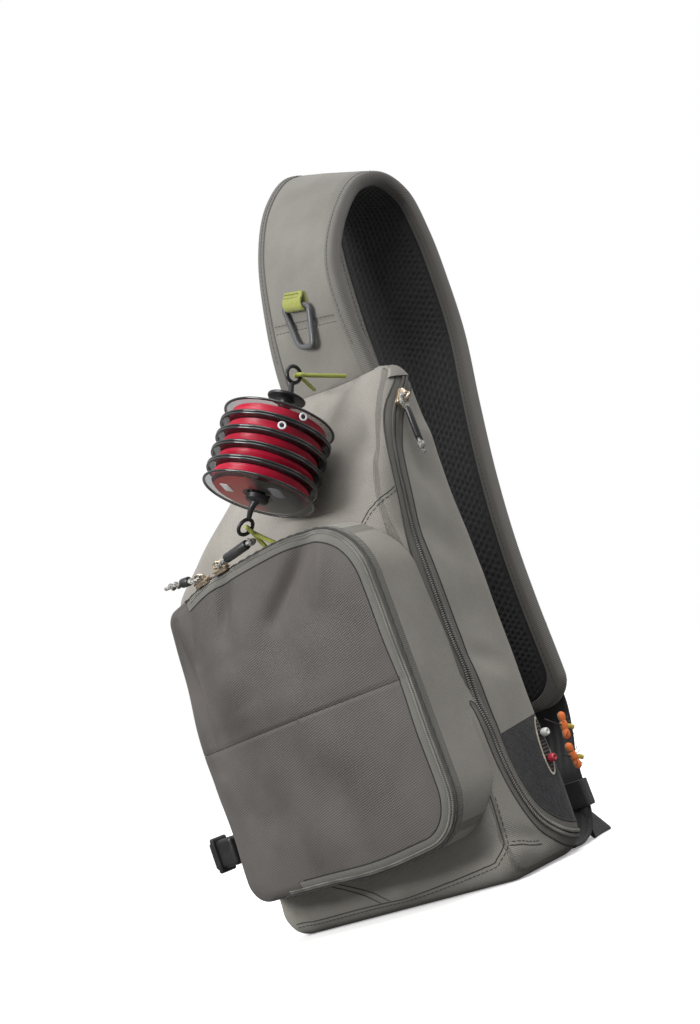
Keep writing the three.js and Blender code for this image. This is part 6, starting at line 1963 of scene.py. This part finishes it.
MAIN_SLIDER_AT = 0.09
long_path = spaced(spline(zip_points, np.linspace(0, 1, 2000)), count=1001)
slider_step = int(MAIN_SLIDER_AT * 1000)
slider_spot = long_path[slider_step]
slider_run = unit(long_path[slider_step + 4] - long_path[slider_step - 4])
zip_pull("main", np.array([BODY_WIDTH / 2, *slider_spot]), np.array([0, *slider_run]), np.array([1.0, 0, 0]),
         np.array([0, 0, -1.0]), PULL_TUBE_LENGTH, PULL_CORD * 2, (0,), tube_plastic)
edge_way = unit(np.array([0, -0.5, 0.866]))
POCKET_PULLS = (
    {"name": "pocket_right", "across": -0.16, "lift": 0, "way": 1, "tube": 1.0, "tail": 1, "knots": (0,)},
    {"name": "pocket_left", "across": -0.27, "lift": -2, "way": -1, "tube": 0.35, "tail": 5,
     "knots": (0, 5.2)},
)
for row in POCKET_PULLS:
    place = np.array([
        POCKET_SHIFT + row["across"] * POCKET_WIDTH,
        pocket_front + POCKET_EDGE * 0.5,
        pocket_top - POCKET_EDGE * 0.45 + row["lift"],
    ])
    zip_pull(row["name"], place, np.array([1.0, 0, 0]), edge_way, np.array([row["way"], 0, 0.1]),
             PULL_TUBE_LENGTH * row["tube"], PULL_CORD * row["tail"], row["knots"], tube_plastic)


# Zip garage
# A strip of the body's cloth sewn over the zip's upper end.
GARAGE_LENGTH = 9
GARAGE = 1.6
garage = cut(body_skin("zip_garage_cloth", GAP + GARAGE), copy_of(keep_out, "garage_inside"))
cut(garage, zip_band("garage_band", ZIP_HALF * 1.6, BODY_WIDTH * 0.36), "INTERSECT")
garage_low = zip_path[0][1] - GARAGE_LENGTH + GAP
cut(garage, block("garage_room", (-FAR, -FAR, garage_low), (FAR, BACK_Y - GAP, FAR)), "INTERSECT")
cut(garage, binding, keep=True)
cut(garage, cover, keep=True)
finished(garage, grey_cloth, "bag", "zip_garage", slot="grey_cloth")


# Beads and flies
# A white and a red bead in the tool port, and two foam flies hooked into the felt: an orange body in three
# lumps with a tan belly, a yellow foam wing, dark legs and a fine hook.
BEAD_RADIUS = 2.6
FLY_LENGTH = 17
FLY = 5

for name, up, low_tone, high_tone, rough in (
    ("bead_white", 0.22, (0.70, 0.70, 0.69), (0.85, 0.85, 0.84), 0.3),
    ("bead_red", -0.24, (0.33, 0.012, 0.03), (0.52, 0.03, 0.06), 0.35),
):
    port_y = BACK_Y - BACK_EDGE + up * PORT_LENGTH * math.sin(PORT_LEAN)
    middle = np.array([BODY_WIDTH / 2 + BEAD_RADIUS + GAP, port_y, PORT_HEIGHT + up * PORT_LENGTH])
    angle = np.linspace(0, 2 * math.pi, 33)[:-1]
    small = np.linspace(0, 2 * math.pi, 21)[:-1]
    hole = 0.5
    radius = (BEAD_RADIUS - hole) / 2
    loops = [
        [middle + np.array([BEAD_RADIUS * 0.93 * math.sin(b), 0, 0])
         + (hole + radius + radius * math.cos(b)) * np.array([0, math.cos(a), math.sin(a)]) for b in small]
        for a in angle
    ]
    bead = ring_form(f"{name}_ball", loops)
    finished(bead, bare(low_tone, high_tone, f"{name}_plastic", rough, Coat_Weight=0.4), "bag", name,
             slot=("white_bead" if name == "bead_white" else "red_bead"), angle=60)

foam = Finish("orange_foam", roughness=0.7)
belly = foam.normal.part(0).between(-0.4, 0.3)
pore = foam.noise(0.0009, detail=3)
foam.set(Base_Color=(belly * 0.85 + pore * 0.15).mixed((0.42, 0.30, 0.17), (0.80, 0.17, 0.028)))
foam.raised(pore, distance=0.0003, strength=0.7)
wing_foam = bare((0.55, 0.40, 0.06), (0.78, 0.60, 0.13), "yellow_foam", 0.65, 0.002)
wire_black = bare((0.012, 0.012, 0.013), (0.03, 0.03, 0.03), "fly_thread", 0.5, 0.002)
FLIES = (
    {"name": "fly_upper", "up": 0.41, "back": 0.53, "lean": 0.16, "hook": 0.47},
    {"name": "fly_lower", "up": -0.71, "back": 0.41, "lean": -0.2, "hook": 0.18},
)
for row in FLIES:
    behind, hang = row["back"] * FLY_LENGTH, row["hook"] * FLY_LENGTH
    half, lean = FLY_LENGTH / 2, row["lean"]
    at = np.array([BODY_WIDTH / 2 + FLY, BACK_Y + behind, PORT_HEIGHT + row["up"] * FLY_LENGTH])
    spine = curve_through([at + (0, lean * half, half), at, at + (0, -lean * half, -half)], 60)
    share = np.linspace(0, 1, 60)
    lumps = 0.72 + 0.28 * np.abs(np.sin(share * 3 * math.pi)) ** 0.6
    body = tube(f"{row['name']}_body", spine, FLY / 2 * lumps, sides=20, ends=0.8)
    finished(body, foam.material, "bag", row["name"], slot="fly_foam", angle=60)
    wing_way = ((0.6, 0, -half * 0.12), (1.0, half * 0.5, -half * 0.2), (0.6, half, -half * 0.4))
    wing_line = curve_through([at + step for step in wing_way], 30)
    wing = tube(f"{row['name']}_wing", wing_line, FLY * 0.3, sides=16, flat=0.55, ends=0.7)
    finished(wing, wing_foam, "bag", slot="fly_foam", angle=60)
    hook_line = curve_through([at, at + (0, -behind * 0.7, hang * 0.3), at + (0, -behind - hang, hang)], 40)
    threads = [tube(f"{row['name']}_hook", hook_line, FLY * 0.09, sides=8, ends=0.5)]
    for k, (y, z) in enumerate(((5.5, 5), (6.5, 1.5), (-4.5, -6.5), (5, -7.5), (-5.5, 3.5))):
        leg = curve_through([at + (1.2, 0, z * 0.4), at + (2.4, y * 0.5, z * 0.75), at + (1.4, y, z)], 16)
        threads.append(tube(f"{row['name']}_leg_{k}", leg, 0.22, sides=6, ends=0.6))
    legs = joined(f"{row['name']}_threads", threads)
    finished(legs, wire_black, "bag", slot="fly_foam", angle=60)


for piece in (skin, shell, keep_out, pocket_outside):
    bpy.data.objects.remove(piece)
